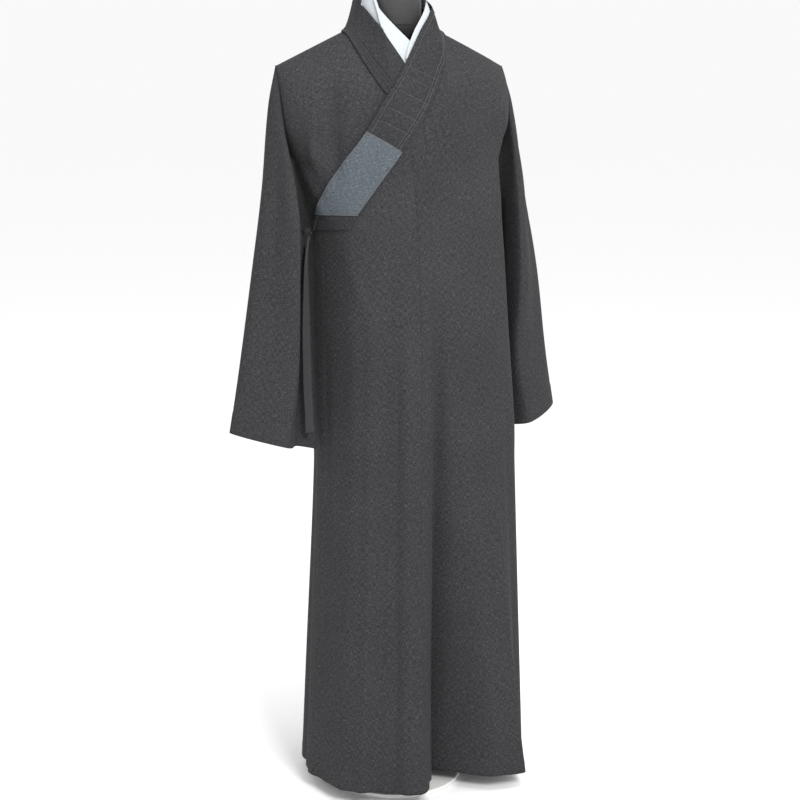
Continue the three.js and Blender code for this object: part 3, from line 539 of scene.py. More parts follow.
def heathered_weave(name, stops, slub_mm, thread_mm, depth_mm, roughness, sheen, worn=0.25):
    """Plain-woven cloth of melange yarn. Warp and weft streaks are noise drawn out ninefold along each thread
    direction, mixed with a fleck of single fibres and broad, faint shading; the threads are crossed waves in
    the bump."""
    material, tree, shader = start_material(name)
    place = node(tree, "ShaderNodeUVMap", {"uv_map": "cloth"}).outputs["UV"]
    streaks = []
    for across, along, seed in ((1 / slub_mm, 1 / (9 * slub_mm), 0.0), (1 / (9 * slub_mm), 1 / slub_mm, 7.3)):
        turned = node(tree, "ShaderNodeMapping",
                      inputs={"Scale": (1000 * across, 1000 * along, 1), "Location": (seed, seed, 0)},
                      links={"Vector": place})
        streaks.append(node(tree, "ShaderNodeTexNoise",
                            inputs={"Scale": 1.0, "Detail": 3.0, "Roughness": 0.7},
                            links={"Vector": turned.outputs["Vector"]}).outputs["Fac"])
    fleck = node(tree, "ShaderNodeTexNoise",
                 inputs={"Scale": 1000 / (slub_mm * 1.3), "Detail": 2.0, "Roughness": 0.8},
                 links={"Vector": place}).outputs["Fac"]
    cross = node(tree, "ShaderNodeMath", {"operation": "ADD"}, links={0: streaks[0], 1: streaks[1]})
    yarn = node(tree, "ShaderNodeMath", {"operation": "MULTIPLY_ADD"}, {1: 0.5},
                {0: fleck, 2: cross.outputs[0]})
    broad = node(tree, "ShaderNodeTexNoise", inputs={"Scale": 7.0, "Detail": 2.0, "Roughness": 0.5},
                 links={"Vector": place}).outputs["Fac"]
    tone = node(tree, "ShaderNodeMath", {"operation": "MULTIPLY_ADD"}, {1: worn},
                {0: broad, 2: yarn.outputs[0]})
    spread = node(tree, "ShaderNodeMapRange",
                  inputs={"From Min": 1.0 + worn * 0.5, "From Max": 1.5 + worn * 0.5},
                  links={"Value": tone.outputs[0]})
    colour = ramp(tree, spread.outputs["Result"], stops)
    tree.links.new(colour.outputs["Color"], shader.inputs["Base Color"])
    waves = []
    for direction in ("X", "Y"):
        waves.append(node(tree, "ShaderNodeTexWave", {"bands_direction": direction, "wave_profile": "SIN"},
                          {"Scale": 1000 / thread_mm / 3.1416, "Distortion": 0.6, "Detail": 1.0},
                          {"Vector": place}).outputs["Fac"])
    crossed = node(tree, "ShaderNodeMath", {"operation": "MULTIPLY"}, links={0: waves[0], 1: waves[1]})
    relief = node(tree, "ShaderNodeMath", {"operation": "MULTIPLY_ADD"}, {1: 0.6},
                  {0: crossed.outputs[0], 2: yarn.outputs[0]})
    bump = node(tree, "ShaderNodeBump", inputs={"Strength": 0.45, "Distance": depth_mm / 1000},
                links={"Height": relief.outputs[0]})
    tree.links.new(bump.outputs["Normal"], shader.inputs["Normal"])
    rough = node(tree, "ShaderNodeMapRange",
                 inputs={"From Min": 0.8, "From Max": 1.7, "To Min": roughness + 0.06,
                         "To Max": roughness - 0.06}, links={"Value": yarn.outputs[0]})
    tree.links.new(rough.outputs["Result"], shader.inputs["Roughness"])
    set_shader(shader, Sheen_Weight=sheen, Sheen_Roughness=0.45, IOR=1.45, Specular_IOR_Level=0.12)
    return material


# Cotton and polyester melange poplin, piece-dyed charcoal: dark ground with pale and dark streaks 0.8 mm wide.
# Its threads, taken to be 0.3 mm apart, are drawn 1.2 mm apart so that they show.
robe_cloth = heathered_weave("charcoal_melange_poplin",
                             [(0.0, "#1D1D1F"), (0.35, "#2B2B2D"), (0.65, "#373738"), (1.0, "#525356")],
                             0.8, 1.2, 0.3, 0.9, 0.02, 0.1)
# The same cloth interlined and pressed, as the collar bands are: a little smoother and darker.
band_cloth = heathered_weave("charcoal_melange_band",
                             [(0.0, "#1C1C1E"), (0.35, "#29292B"), (0.65, "#343436"), (1.0, "#4D4E51")],
                             0.8, 1.2, 0.3, 0.88, 0.02, 0.1)
# Blue-grey linen, plain woven with slubs 0.7 mm wide. Its threads, taken to be 0.6 mm apart, are drawn 1.4 mm
# apart.
patch_cloth = heathered_weave("slubbed_blue_grey_linen",
                              [(0.0, "#32373B"), (0.35, "#454B50"), (0.65, "#545B61"), (1.0, "#757D83")],
                              0.7, 1.4, 0.5, 0.86, 0.02, 0.12)
# Bleached cotton sateen, pressed flat: clean white with the faintest shading.
guard_cloth = heathered_weave("bleached_cotton_sateen",
                              [(0.0, "#A9AEB2"), (0.5, "#B4B9BD"), (1.0, "#BFC4C8")],
                              1.2, 1.2, 0.15, 0.8, 0.0)


def spun_thread(name, colour):
    """Twisted sewing thread: one colour with the slight light and dark of its twist along the object."""
    material, tree, shader = start_material(name)
    place = node(tree, "ShaderNodeTexCoord").outputs["Object"]
    twist = node(tree, "ShaderNodeTexNoise", inputs={"Scale": 700.0, "Detail": 2.0}, links={"Vector": place})
    tone = ramp(tree, twist.outputs["Fac"], [(0.2, colour[0]), (0.8, colour[1])])
    tree.links.new(tone.outputs["Color"], shader.inputs["Base Color"])
    set_shader(shader, Roughness=0.7, IOR=1.5, Sheen_Weight=0.1)
    return material


# Polyester core-spun thread, dyed a shade darker than the cloth.
dark_thread = spun_thread("core_spun_charcoal_thread", ("#1B1C1E", "#2C2D30"))
# The same thread in a paler grey, which stands out on the quilted band.
pale_thread = spun_thread("core_spun_grey_thread", ("#3C3E40", "#505355"))
# The patch's raw edge and its tacking: thread of a dull brown.
brown_thread = spun_thread("core_spun_brown_thread", ("#4A4440", "#66605A"))


def knitted_cover(name, low, high):
    """Fine stretch jersey: rows of loops 0.9 mm high as waves up the form, and faint pilling as noise."""
    material, tree, shader = start_material(name)
    place = node(tree, "ShaderNodeTexCoord").outputs["Object"]
    loops = node(tree, "ShaderNodeTexWave", {"bands_direction": "Z"}, {"Scale": 350.0, "Distortion": 1.2,
                                                                     "Detail": 2.0}, {"Vector": place})
    pile = node(tree, "ShaderNodeTexNoise", inputs={"Scale": 420.0, "Detail": 4.0, "Roughness": 0.7},
                links={"Vector": place})
    both = node(tree, "ShaderNodeMath", {"operation": "MULTIPLY_ADD"}, {1: 0.4},
                {0: loops.outputs["Fac"], 2: pile.outputs["Fac"]})
    tone = ramp(tree, pile.outputs["Fac"], [(0.3, low), (0.75, high)])
    tree.links.new(tone.outputs["Color"], shader.inputs["Base Color"])
    bump = node(tree, "ShaderNodeBump", inputs={"Strength": 0.25, "Distance": 0.0004},
                links={"Height": both.outputs[0]})
    tree.links.new(bump.outputs["Normal"], shader.inputs["Normal"])
    set_shader(shader, Roughness=0.62, IOR=1.45, Sheen_Weight=0.25, Sheen_Roughness=0.35)
    return material


# Black polyester jersey stretched over the padded form: a greyed black with a soft bloom.
form_cover = knitted_cover("black_polyester_jersey", "#2E2F2E", "#3D3E3D")


def lacquered_wood(name, low, high):
    """Turned and lacquered beech: rings as a distorted wave round the upright axis, under a clear coat."""
    material, tree, shader = start_material(name)
    place = node(tree, "ShaderNodeTexCoord").outputs["Object"]
    rings = node(tree, "ShaderNodeTexWave", {"wave_type": "RINGS", "rings_direction": "Z"},
                 {"Scale": 60.0, "Distortion": 2.5, "Detail": 3.0}, {"Vector": place})
    tone = ramp(tree, rings.outputs["Fac"], [(0.0, low), (1.0, high)])
    tree.links.new(tone.outputs["Color"], shader.inputs["Base Color"])
    bump = node(tree, "ShaderNodeBump", inputs={"Strength": 0.08, "Distance": 0.0003},
                links={"Height": rings.outputs["Fac"]})
    tree.links.new(bump.outputs["Normal"], shader.inputs["Normal"])
    set_shader(shader, Roughness=0.35, IOR=1.5, Coat_Weight=0.5, Coat_Roughness=0.15)
    return material


# Beech stained near black and lacquered: the ring grain just shows.
cap_wood = lacquered_wood("black_stained_beech", "#15110F", "#241D18")


def powder_coat(name, low, high):
    """Powder-coated steel: orange-peel of 1.5 mm as noise in the bump, with a faint mottle in the colour."""
    material, tree, shader = start_material(name)
    place = node(tree, "ShaderNodeTexCoord").outputs["Object"]
    peel = node(tree, "ShaderNodeTexNoise", inputs={"Scale": 650.0, "Detail": 2.0}, links={"Vector": place})
    tone = ramp(tree, peel.outputs["Fac"], [(0.3, low), (0.7, high)])
    tree.links.new(tone.outputs["Color"], shader.inputs["Base Color"])
    bump = node(tree, "ShaderNodeBump", inputs={"Strength": 0.12, "Distance": 0.0002},
                links={"Height": peel.outputs["Fac"]})
    tree.links.new(bump.outputs["Normal"], shader.inputs["Normal"])
    set_shader(shader, Roughness=0.42, IOR=1.5)
    return material


# White polyester powder on steel: clean, with a soft highlight.
stand_coat = powder_coat("white_powder_coated_steel", "#DEDEDC", "#E8E8E6")


# ---------------------------------------------------------------- giving pieces their material and body
def make(piece, material, slot, *nodes):
    """Gives a piece its material, rides it on the one body, and lets it stand for its nodes. Its slot is not
    used.
    """
    piece.data.materials.clear()
    piece.data.materials.append(material)
    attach(piece, "root")
    if nodes:
        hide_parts(*nodes)
    return piece


# ---------------------------------------------------------------- body lengths
SEAM_TURN = 0.004                  # degrees either side of a sewn seam
SKIRT_ROWS, YOKE_ROWS = 150, 64


def climb(hem_rows, yoke_rows):
    """Levels from the hem to just below the shoulder line, rows crowding where the yoke turns over."""
    skirt = -(ARMPIT_Z - HEM_Z) * (1 - np.linspace(0, 1, hem_rows, endpoint=False))
    return np.concatenate([skirt, np.sin(np.linspace(0, 1, yoke_rows, endpoint=False) * np.pi / 2 * 0.99)])


def row_length(points):
    """Distance along each row from its start."""
    step = np.linalg.norm(np.diff(points, axis=1), axis=-1)
    return np.concatenate([np.zeros((len(points), 1)), np.cumsum(step, axis=1)], axis=1)


def hem_relief(z, foot, deep=26.0):
    """A hem turned up once: half a millimetre proud below its stitching, with a dip along the stitching."""
    above = z - foot
    return 0.5 * (1 - smooth((above - deep + 2) / 3)) - 0.5 * bell(above - deep, 1.8)


def body_length(side):
    """Front and back in one over the shoulder, from the front edge and centre back to the side seam."""
    up = climb(SKIRT_ROWS, YOKE_ROWS)
    level = np.concatenate([up, [1.0], up[::-1]])[:, None]
    back = np.concatenate([np.zeros(len(up) + 1, bool), np.ones(len(up), bool)])[:, None]
    edge = LEFT_EDGE if side > 0 else RIGHT_EDGE
    front_rows = level[:len(up) + 1, 0]
    front = edge_angle(edge, front_rows, side * -30.0, side * 86.0, side, False) + side * SEAM_TURN
    back_rows = level[len(up) + 1:, 0]
    mirrored = np.stack([BACK_EDGE[:, 0], side * BACK_EDGE[:, 1]], -1)
    high = edge_angle(mirrored, np.maximum(back_rows, 1e-6), 180.0 * side, 92.0 * side, side, True)
    rear = np.where(back_rows <= 0, 180.0 * side, high) - side * SEAM_TURN
    inner = np.concatenate([front, rear])[:, None]
    outer = np.where(back, side * (90 + SEAM_TURN), side * (90 - SEAM_TURN))
    t = np.linspace(0, 1, 112)[None] ** (1.15 if side > 0 else 1.0)
    angle = mix(inner, outer, t)
    level, back = (np.broadcast_to(v, angle.shape) for v in (level, back))
    points, normals = settled(angle, level, back, -side)
    along = row_length(points)
    z = points[..., 2]
    relief = hem_relief(z, HEM_Z)
    if side > 0:
        seamed = ~back & (z < 1245)
        fading = smooth((z - 700) / 260)
        pressed = 1.3 * smooth(along / 6) * (1 - smooth((along - 22) / 2.5)) * fading - 0.4 * bell(along, 1.4)
        pressed = pressed - 0.9 * bell(along - 24.5, 1.5) * fading
        relief = relief + np.where(seamed, pressed, 0)
        return wall("body_left_cloth", points, normals, relief - CLOTH, relief), points
    relief = relief + underlay(angle, level, back)[1]
    return wall("body_right_cloth", points, normals, relief - CLOTH, relief), points


# No cutting pattern was at hand, so the declared areas of the body, the lap and the sleeves are shares of the
# modelled surface itself. They say nothing apart from the model.
body_left, left_points = body_length(1)
make(body_left, robe_cloth, "robe_cloth", "body_left")
body_right, right_points = body_length(-1)
make(body_right, robe_cloth, "robe_cloth", "body_right")


# ---------------------------------------------------------------- outer lap
def outer_lap():
    """Panel from the centre seam to the wearer's right side, its upper edge under the middle of the band."""
    up = climb(SKIRT_ROWS, YOKE_ROWS)
    level = np.concatenate([up[:SKIRT_ROWS], np.linspace(0, 0.16, 14)])[:, None]
    z = np.where(level <= 0, ARMPIT_Z + level, garment(np.full_like(level, -12.0), level, False)[..., 2])
    seam = edge_angle(LEFT_EDGE, level, -40.0, 60.0, 1, False) - SEAM_TURN
    high = np.maximum(edge_angle(LAP_TOP, level, -88.0, 0.0, 1, False), -86)
    side = np.where(z <= LAP_TOP[0, 0], curve(LAP_SIDE[:, 0], LAP_SIDE[:, 1], z), high)
    side = np.minimum(side, seam - 1.5)
    angle = mix(side, seam, np.linspace(0, 1, 100)[None])
    level = np.broadcast_to(level, angle.shape)
    back = np.zeros(angle.shape, bool)
    points, normals = settled(angle, level, back, -1)
    along = row_length(points)
    relief = underlay(angle, level, back)[0] + hem_relief(points[..., 2], HEM_Z)
    from_seam = along[:, -1:] - along
    relief = relief - 0.4 * bell(from_seam, 1.4) + 0.5 * (1 - smooth((along - 18) / 3))
    relief = relief - 0.4 * bell(along - 19, 1.6)
    return wall("outer_lap_cloth", points, normals, relief - CLOTH, relief), points


lap, lap_points = outer_lap()
make(lap, robe_cloth, "robe_cloth", "outer_lap")


# ---------------------------------------------------------------- collar bands, patch and guard
def strip(stations, first, last, steps, across):
    """Angles and levels of a strip between two edges, straight across. Each edge is a cubic through the
    stations, calmed by a mean over a reach to both sides: half of the place itself, a quarter of each end."""
    knots = np.arange(len(stations))
    at = np.linspace(first, min(last, len(stations) - 1), steps + 1)
    reach = np.minimum(0.85, np.minimum(at, (len(stations) - 1 - at) * 0.4))
    low_angle, low_z, high_angle, high_z = (
        (curve(knots, stations[:, k], at - reach) / 4 + curve(knots, stations[:, k], at) / 2
         + curve(knots, stations[:, k], at + reach) / 4)[:, None] for k in range(4))
    t = np.linspace(0, 1, across + 1)[None]
    angle = mix(low_angle, high_angle, t)
    return at, angle, level_at(angle, mix(low_z, high_z, t))


def across_distance(points):
    """Distance across each row from the seamed edge, and from the free edge."""
    along = row_length(points)
    return along, along[:, -1:] - along


def stitched(lines, at_seam, at_free):
    """Dips under topstitching: each line is a distance in millimetres, from the seamed edge if positive and
    from the free edge if negative."""
    dips = 0
    for line in lines:
        gap = at_seam - line if line > 0 else at_free + line
        dips = dips - 1.2 * bell(gap, 1.6)
    return dips


def line_on(points, normals, distance, lift, rows=slice(None)):
    """Path along a strip at a distance from its seamed edge, or from its free edge if negative."""
    seam, free = across_distance(points)
    where = seam if distance > 0 else free
    goal = abs(distance)
    index = np.abs(where - goal).argmin(axis=1)
    r = np.arange(len(points))
    next_way = np.where((where[r, index] < goal) == (distance > 0), 1, -1)
    second = np.clip(index + next_way, 0, points.shape[1] - 1)
    gap = where[r, second] - where[r, index]
    apart = np.abs(gap) > 1e-6
    t = np.clip(np.where(apart, (goal - where[r, index]) / np.where(apart, gap, 1), 0)[:, None], 0, 1)
    place = mix(points[r, index], points[r, second], t)
    up = mix(normals[r, index], normals[r, second], t)
    return (place + up * lift)[rows], up[rows]


def band(name, stations, first, last, steps, faces, outward, side, lines, quilt=()):
    """A band of the collar: a strip of the surface between its faces, dipped under its stitching and rolled
    thinner towards both edges."""
    at, angle, level = strip(stations, first, last, steps, 56)
    back = behind(angle)
    points, normals = settled(angle, level, back, outward)
    lap_rise, sunk = underlay(angle, level, back)
    rise = lap_rise if side == "over" else sunk
    at_seam, at_free = across_distance(points)
    relief = rise + stitched(lines, at_seam, at_free)
    relief = relief - 0.5 * bell(at_seam, 1.8) - 0.5 * bell(at_free, 1.8)
    along = np.concatenate([[0], np.cumsum(np.linalg.norm(np.diff(points[:, 28], axis=0), axis=1))])
    for station in quilt:
        gap = along - np.interp(station, at, along)
        relief = relief - (0.9 * bell(gap, 1.8))[:, None] + (0.25 * bell(np.abs(gap) - 9, 6))[:, None]
    piece = wall(name, points, normals, rise + faces[0], relief + faces[1])
    return piece, points, normals, relief + faces[1], at


collar_left, cl_points, cl_normals, cl_top, cl_at = band(
    "collar_left_band", BAND_LEFT, 0.06, 14, 420, BAND_FACES, -1, "over", (7, 13, -9), QUILT_STATIONS)
collar_right, cr_points, cr_normals, cr_top, _ = band(
    "collar_right_band", BAND_RIGHT, 0.06, 7, 240, BAND_FACES, 1, "beneath", (7, 13.5, 20))
collar_back, cb_points, cb_normals, cb_top, _ = band(
    "collar_back_band", BAND_BACK, 0.06, 5.94, 180, BAND_FACES, 1, "over", (7, 13, -9))
make(collar_left, band_cloth, "robe_cloth", "collar_left")
make(collar_right, band_cloth, "robe_cloth", "collar_right")
make(collar_back, band_cloth, "robe_cloth", "collar_back")

patch, pa_points, pa_normals, pa_top, _ = band(
    "collar_patch_linen", BAND_LEFT, *PATCH_STATIONS, 150, PATCH_FACES, -1, "over", (2.5, -2.5))
make(patch, patch_cloth, "patch_cloth", "collar_patch")
for name, stations, last, outward, side, node_name in (
        ("guard_right_strip", GUARD_RIGHT, 6, 1, "beneath", "guard_right"),
        ("guard_left_strip", GUARD_LEFT, 5, -1, "over", "guard_left"),
        ("guard_back_strip", GUARD_BACK, 5.92, 1, "over", "guard_back")):
    guard, g_points, _, _, _ = band(name, stations, 0.08, last, 150, GUARD_FACES, outward, side, ())
    make(guard, guard_cloth, "guard_cloth", node_name)


# ---------------------------------------------------------------- sleeves
# Soft folds of a hanging sleeve, on the wearer's left: two end points, half width, and height.
SLEEVE_DRAGS = [
    ((226, -34, 1240), (232, -74, 1050), 13, 4.5), ((232, -74, 1050), (236, -76, 860), 15, 3.5),
    ((246, -30, 1230), (262, -52, 980), 13, -4.5), ((262, -52, 980), (284, -58, 780), 16, -3.0),
    ((268, -20, 1080), (306, -30, 800), 14, 3.0), ((208, -14, 1120), (206, -14, 860), 12, -5.0),
    ((216, 34, 1220), (238, 54, 960), 14, 4.0), ((244, 48, 1180), (286, 34, 860), 16, -4.0),
    ((238, 54, 960), (252, 46, 760), 16, 2.6), ((266, 30, 1060), (312, 16, 800), 14, 2.6)]


def sleeve(side):
    """Straight, wide sleeve: closed rings joined downwards by a cubic, the first being the armhole itself."""
    rings = SLEEVE_RINGS.copy()
    if side < 0:
        rings[:, 3] = RIGHT_INNER
    count, rows = 176, 230
    v = np.arange(count) / count
    z = 1287 + 68 * np.cos(2 * np.pi * v)
    edge_x, edge_y = armhole(1.0, v > 0.5, z)
    head = np.stack([edge_x + 0.3, edge_y, z], -1)
    loops = np.stack([np.stack([round_curve(RING_ANGLES, ring[:, k], v * 360) for k in range(3)], -1)
                      for ring in rings])
    all_loops = np.concatenate([head[None], loops])
    knots = np.concatenate([[0], (SHOULDER_Z - rings[:, 0, 2]) / (SHOULDER_Z - CUFF_Z)])
    s = (np.linspace(0, 1, rows) ** 1.25)[:, None, None] * np.ones((1, count, 3))
    points = curve(knots, np.broadcast_to(all_loops[:, None], (len(knots),) + s.shape), s)
    base_normals = grid_normals(points, around=True)
    middle = points.mean(axis=1, keepdims=True)
    if np.einsum("ijk,ijk->", base_normals, points - middle) < 0:
        base_normals = -base_normals
    fade = smooth(np.linspace(0, 1, rows) / 0.06)[:, None]
    points = points + base_normals * (segment_bells(points, SLEEVE_DRAGS) * fade)[..., None]
    points = points * np.array([side, 1, 1.0])
    normals = grid_normals(points, around=True)
    if np.einsum("ijk,ijk->", normals, points - points.mean(axis=1, keepdims=True)) < 0:
        normals = -normals
    down = np.linalg.norm(np.diff(points, axis=0), axis=-1)
    from_cuff = np.concatenate([np.cumsum(down[::-1], axis=0)[::-1], np.zeros((1, count))])
    relief = 0.5 * (1 - smooth((from_cuff - 38) / 3)) - 0.7 * bell(from_cuff - 40, 1.8)
    relief = relief - 0.3 * bell(from_cuff - from_cuff[:1], 2)
    name = "sleeve_left_cloth" if side > 0 else "sleeve_right_cloth"
    piece = wall(name, points, normals, -CLOTH, relief, around=True)
    row = np.abs(from_cuff - 40).argmin(axis=0)
    col = np.arange(count)
    seam_path = np.concatenate([points[row, col], points[row[:1], col[:1]]])
    seam_up = np.concatenate([normals[row, col], normals[row[:1], col[:1]]])
    thread = stitches(name.replace("cloth", "cuff_thread"), seam_path, seam_up, lift=-0.25)
    make(thread, dark_thread, "robe_cloth")
    make(piece, robe_cloth, "robe_cloth", "sleeve_left" if side > 0 else "sleeve_right")


sleeve(1)
sleeve(-1)


# ---------------------------------------------------------------- topstitching
def run_of(label, points, normals, top, distance, rows=slice(None), material=dark_thread, thick=0.55):
    """A row of stitches along a band, sunk in the dip that the band has there."""
    path, up = line_on(points + normals * top[..., None], normals, distance, 0.1, rows)
    return make(stitches(label, path, up, thick=thick), material, "robe_cloth")


run_of("collar_left_topstitch_a", cl_points, cl_normals, cl_top, 7, slice(0, 300), pale_thread)
run_of("collar_left_topstitch_b", cl_points, cl_normals, cl_top, 13, slice(0, 300), pale_thread)
run_of("collar_left_topstitch_c", cl_points, cl_normals, cl_top, -9, material=pale_thread)
for k, distance in enumerate((7, 13.5, 20)):
    run_of(f"collar_right_topstitch_{k}", cr_points, cr_normals, cr_top, distance, thick=0.85)
for k, distance in enumerate((7, 13, -9)):
    run_of(f"collar_back_topstitch_{k}", cb_points, cb_normals, cb_top, distance)
for k, station in enumerate(QUILT_STATIONS):
    i = int(np.abs(cl_at - station).argmin())
    crossing = cl_points[i, 3:-9] + cl_normals[i, 3:-9] * cl_top[i, 3:-9, None]
    row = stitches(f"collar_left_quilt_{k}", crossing, cl_normals[i, 3:-9], lift=0.35)
    make(row, pale_thread, "robe_cloth")
for k, i in enumerate((2, len(pa_points) - 3)):
    crossing = pa_points[i] + pa_normals[i] * pa_top[i, :, None]
    make(stitches(f"patch_tacking_{k}", crossing, pa_normals[i]), brown_thread, "patch_cloth")
run_of("patch_edge_a", pa_points, pa_normals, pa_top, 2.5, material=brown_thread)
run_of("patch_edge_b", pa_points, pa_normals, pa_top, -2.5, material=brown_thread)


# ---------------------------------------------------------------- tie and knot
def smooth_path(path, count):
    """Points evenly spaced by number along a cubic through the given ones."""
    knots = np.arange(len(path))
    at = np.linspace(0, len(path) - 1, count)
    return np.stack([curve(knots, path[:, k], at) for k in range(3)], -1)


def side_tie():
    """Flat cloth tape: a rounded rectangle, a superellipse of power 4, carried down the path, edge on at its
    top and eased round to show its width, and bowed slightly across."""
    path = smooth_path(TIE_PATH, 140)
    ahead = np.gradient(path, axis=0)
    ahead /= np.linalg.norm(ahead, axis=1, keepdims=True)
    s = np.linspace(0, 1, len(path))
    turn = rad(mix(TIE_TURN[0], TIE_TURN[1], smooth(s)) + 5 * np.sin(9 * s))
    wide = np.stack([np.cos(turn), np.sin(turn), 0 * turn], -1)
    wide -= ahead * np.einsum("ij,ij->i", wide, ahead)[:, None]
    wide /= np.linalg.norm(wide, axis=1, keepdims=True)
    thin = np.cross(ahead, wide)
    a = np.linspace(0, 2 * np.pi, 40, endpoint=False)
    w = np.sign(np.cos(a)) * np.abs(np.cos(a)) ** 0.5 * TIE_WIDTH / 2
    h = np.sign(np.sin(a)) * np.abs(np.sin(a)) ** 0.5 * TIE_THICK / 2
    h = h - 0.35 * bell(np.abs(w) - 5.6, 0.7) * np.sign(h) + 0.012 * w ** 2
    points = path[:, None] + wide[:, None] * w[None, :, None] + thin[:, None] * h[None, :, None]
    piece = capped("side_tie_tape", points)
    return piece, path


def object_weave(name, source):
    """The band's cloth for small pieces without a map: its fleck on object coordinates, 1.4 mm across."""
    material, tree, shader = start_material(name)
    place = node(tree, "ShaderNodeTexCoord").outputs["Object"]
    fleck = node(tree, "ShaderNodeTexNoise", inputs={"Scale": 700.0, "Detail": 3.0, "Roughness": 0.75},
                 links={"Vector": place})
    tone = ramp(tree, fleck.outputs["Fac"], source)
    tree.links.new(tone.outputs["Color"], shader.inputs["Base Color"])
    bump = node(tree, "ShaderNodeBump", inputs={"Strength": 0.4, "Distance": 0.0005},
                links={"Height": fleck.outputs["Fac"]})
    tree.links.new(bump.outputs["Normal"], shader.inputs["Normal"])
    set_shader(shader, Roughness=0.86, IOR=1.45, Sheen_Weight=0.1)
    return material


# Bias tape cut from the robe's own melange cloth and folded: the same fleck.
tape_cloth = object_weave("charcoal_melange_bias_tape", [(0.25, "#1C1C1E"), (0.75, "#37383A")])

tie, tie_path = side_tie()
make(tie, tape_cloth, "robe_cloth", "side_tie")


def knot_strand():
    """Ball button knot: one strand over a ball, going round twice while its latitude swings three times."""
    t = np.linspace(0, 2 * np.pi, 260, endpoint=False)
    latitude = 0.98 * np.sin(3 * t)
    weave = 0.55 * np.cos(6 * t)
    radius = KNOT_R - 1.6 + weave
    return KNOT_AT + radius[:, None] * np.stack([np.cos(latitude) * np.cos(2 * t),
                                                 np.cos(latitude) * np.sin(2 * t), np.sin(latitude)], -1)


make(tube("knot_button_strand", knot_strand(), 1.55, 10, closed=True), tape_cloth, "robe_cloth", "knot_button")
CORE_R = 4.3
core_profile = [(CORE_R * np.sin(a), KNOT_AT[2] - CORE_R * np.cos(a)) for a in np.linspace(0.12, 3.02, 14)]
core = lathe("knot_button_core", core_profile, KNOT_AT[:2], 28)
make(core, tape_cloth, "robe_cloth")
loop_path = smooth_path(KNOT_AT + np.array([[8, -2, 9], [8, -3, 5.5], [5, -1, 1], [0, 6, -0.5], [-5, 0, 0],
                                            [1, -6.5, 0.5], [8, -3, -5], [8, 0, -8.0]]), 90)
make(tube("knot_loop", loop_path, 1.3, 10), tape_cloth, "robe_cloth")

# ---------------------------------------------------------------- dress form and stand
TORSO = np.array([
    [757, 118, 84, 10], [763, 128, 92, 10], [815, 132, 95, 10], [885, 126, 92, 10], [970, 109, 82, 10],
    [1045, 114, 84, 11], [1115, 134, 90, 12], [1180, 154, 92, 14], [1235, 174, 84, 16], [1295, 180, 66, 17],
    [1340, 178, 44, 17], [1362, 166, 35, 17], [1376, 146, 32, 17], [1388, 122, 32, 17], [1399, 98, 34, 16],
    [1409, 78, 38, 14], [1420, 61, 44, 12], [1433, 49, 49, 10.0]])
NECK_R, NECK_FOOT, NECK_TOP, NECK_Y = 49.0, 1433.3, 1513.0, 10.0
BASE_R, BASE_THICK, POLE_R = 125.0, 8.0, 12.5


def torso():
    """Padded torso: superellipses of power 2.35, easing to 2 at the neck, their half width, half depth and
    middle being cubics of the height."""
    z = np.concatenate([np.linspace(757, 1340, 90), np.linspace(1343, 1433, 50)])
    half_width, half_depth, middle = (curve(TORSO[:, 0], TORSO[:, k], z)[:, None] for k in (1, 2, 3))
    a = np.linspace(0, 2 * np.pi, 120, endpoint=False)[None]
    power = 2 / mix(2.35, 2, smooth((z - 1385) / 40))[:, None]
    x = half_width * np.sign(np.cos(a)) * np.abs(np.cos(a)) ** power
    y = middle + half_depth * np.sign(np.sin(a)) * np.abs(np.sin(a)) ** power
    return capped("form_torso_cover", np.stack([x, y, np.broadcast_to(z[:, None], x.shape)], -1))


def rounded(radius, low, high, edge):
    """Profile of a round piece with quarter-circle edges."""
    a = np.linspace(0, np.pi / 2, 6)
    foot = [(radius - edge + edge * np.sin(k), low + edge - edge * np.cos(k)) for k in a]
    head = [(radius - edge + edge * np.cos(k), high - edge + edge * np.sin(k)) for k in a]
    return [(radius - 2 * edge, low)] + foot + head + [(radius - 2 * edge, high)]


make(torso(), form_cover, "form_cover", "form_torso")
neck_start = [(NECK_R - 3, NECK_FOOT - 8), (NECK_R - 0.1, NECK_FOOT - 6)]
neck_profile = neck_start + rounded(NECK_R, NECK_FOOT, NECK_TOP, 3)[7:]
make(lathe("form_neck_cover", neck_profile, (0, NECK_Y), 128), form_cover, "form_cover", "form_neck")
cap_profile = [(40, NECK_TOP + 0.3), (43.5, NECK_TOP + 0.6), (45.5, NECK_TOP + 1.8), (46, NECK_TOP + 3.4),
               (45, NECK_TOP + 5.6), (42, NECK_TOP + 8.6), (36, NECK_TOP + 11.4), (28, NECK_TOP + 13.6),
               (19, NECK_TOP + 15), (10, NECK_TOP + 15.8), (4, NECK_TOP + 16)]
make(lathe("form_cap_turned", cap_profile, (0, NECK_Y), 96), cap_wood, "form_cap", "form_cap")
make(lathe("stand_base_disc", rounded(BASE_R, 0, BASE_THICK, 2), count=160), stand_coat, "stand_metal",
     "stand_base")
socket_profile = [(22, 8.3), (25.5, 8.6), (26, 10), (26, 16.5), (25, 18.3), (20.5, 27), (18.6, 34), (18, 37),
                  (17, 38.2), (13.2, 38.3)]
make(lathe("stand_socket_turned", socket_profile, count=72), stand_coat, "stand_metal", "stand_socket")
make(lathe("stand_pole_tube", rounded(POLE_R, 38.6, 756.6, 1), count=48), stand_coat, "stand_metal",
     "stand_pole")


# ---------------------------------------------------------------- studio
def stage_material(name, colour):
    """Matt painted studio floor: one even pale colour."""
    material, _, shader = start_material(name)
    set_shader(shader, Base_Color=linear(colour), Roughness=0.9)
    return material


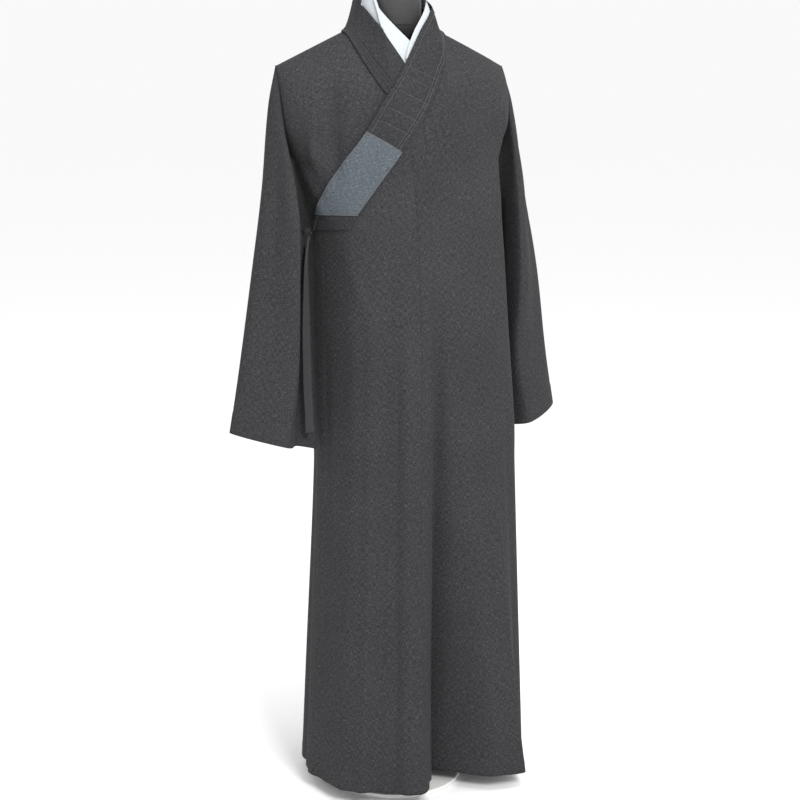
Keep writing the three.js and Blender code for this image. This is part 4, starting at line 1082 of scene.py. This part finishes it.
floor_mesh = bpy.data.meshes.new("studio_floor")
floor_mesh.from_pydata([(-30, -30, -0.0005), (30, -30, -0.0005), (30, 30, -0.0005), (-30, 30, -0.0005)], [],
                       [(0, 1, 2, 3)])
floor = bpy.data.objects.new("studio_floor", floor_mesh)
bpy.context.scene.collection.objects.link(floor)
floor_mesh.materials.append(stage_material("white_matt_floor_paint", "#FFFFFF"))


def panel_light(name, place, aim, size, power):
    """Square soft light at a place, turned to shine at a point."""
    data = bpy.data.lights.new(name, "AREA")
    data.size = size
    data.energy = power
    light = bpy.data.objects.new(name, data)
    bpy.context.scene.collection.objects.link(light)
    ahead = np.array(aim, float) - np.array(place, float)
    ahead /= np.linalg.norm(ahead)
    side = np.cross(ahead, (0, 0, 1.0))
    side /= np.linalg.norm(side)
    up = np.cross(side, ahead)
    turned = np.eye(4)
    turned[:3, 0], turned[:3, 1], turned[:3, 2], turned[:3, 3] = side, up, -ahead, place
    light.matrix_world = Matrix(turned.tolist())
    return light


panel_light("key_light", (-0.1, -3.2, 2.9), (0, 0, 1.0), 1.0, 95)
panel_light("fill_light", (-2.8, -1.6, 2.2), (0, 0, 0.8), 2.0, 12)
panel_light("top_light", (0.4, -0.6, 3.6), (0, 0, 1.0), 1.2, 30)

world = bpy.data.worlds.new("pale_studio")
bpy.context.scene.world = world
world.use_nodes = True
world.node_tree.nodes["Background"].inputs["Color"].default_value = (1, 1, 1, 1)
world.node_tree.nodes["Background"].inputs["Strength"].default_value = 0.95
bpy.context.scene.view_settings.view_transform = "Standard"

camera_data = bpy.data.cameras.new("camera")
camera = bpy.data.objects.new("camera", camera_data)
bpy.context.scene.collection.objects.link(camera)
camera_data.sensor_width = 36.0
camera_data.lens = 71.325
camera_data.shift_x = 0.005
CAMERA_REACH, CAMERA_Z = 2.9, 1.355  # metres from the axis, and above the floor
theta, alpha = rad(25.0), rad(11.9)
ahead = np.array([np.sin(theta) * np.cos(alpha), np.cos(theta) * np.cos(alpha), -np.sin(alpha)])
right = np.array([np.cos(theta), -np.sin(theta), 0])
upward = np.cross(right, ahead)
stand_at = np.array([-CAMERA_REACH * np.sin(theta), -CAMERA_REACH * np.cos(theta), CAMERA_Z])
seat = np.eye(4)
seat[:3, 0], seat[:3, 1], seat[:3, 2], seat[:3, 3] = right, upward, -ahead, stand_at
camera.matrix_world = Matrix(seat.tolist())
bpy.context.scene.camera = camera
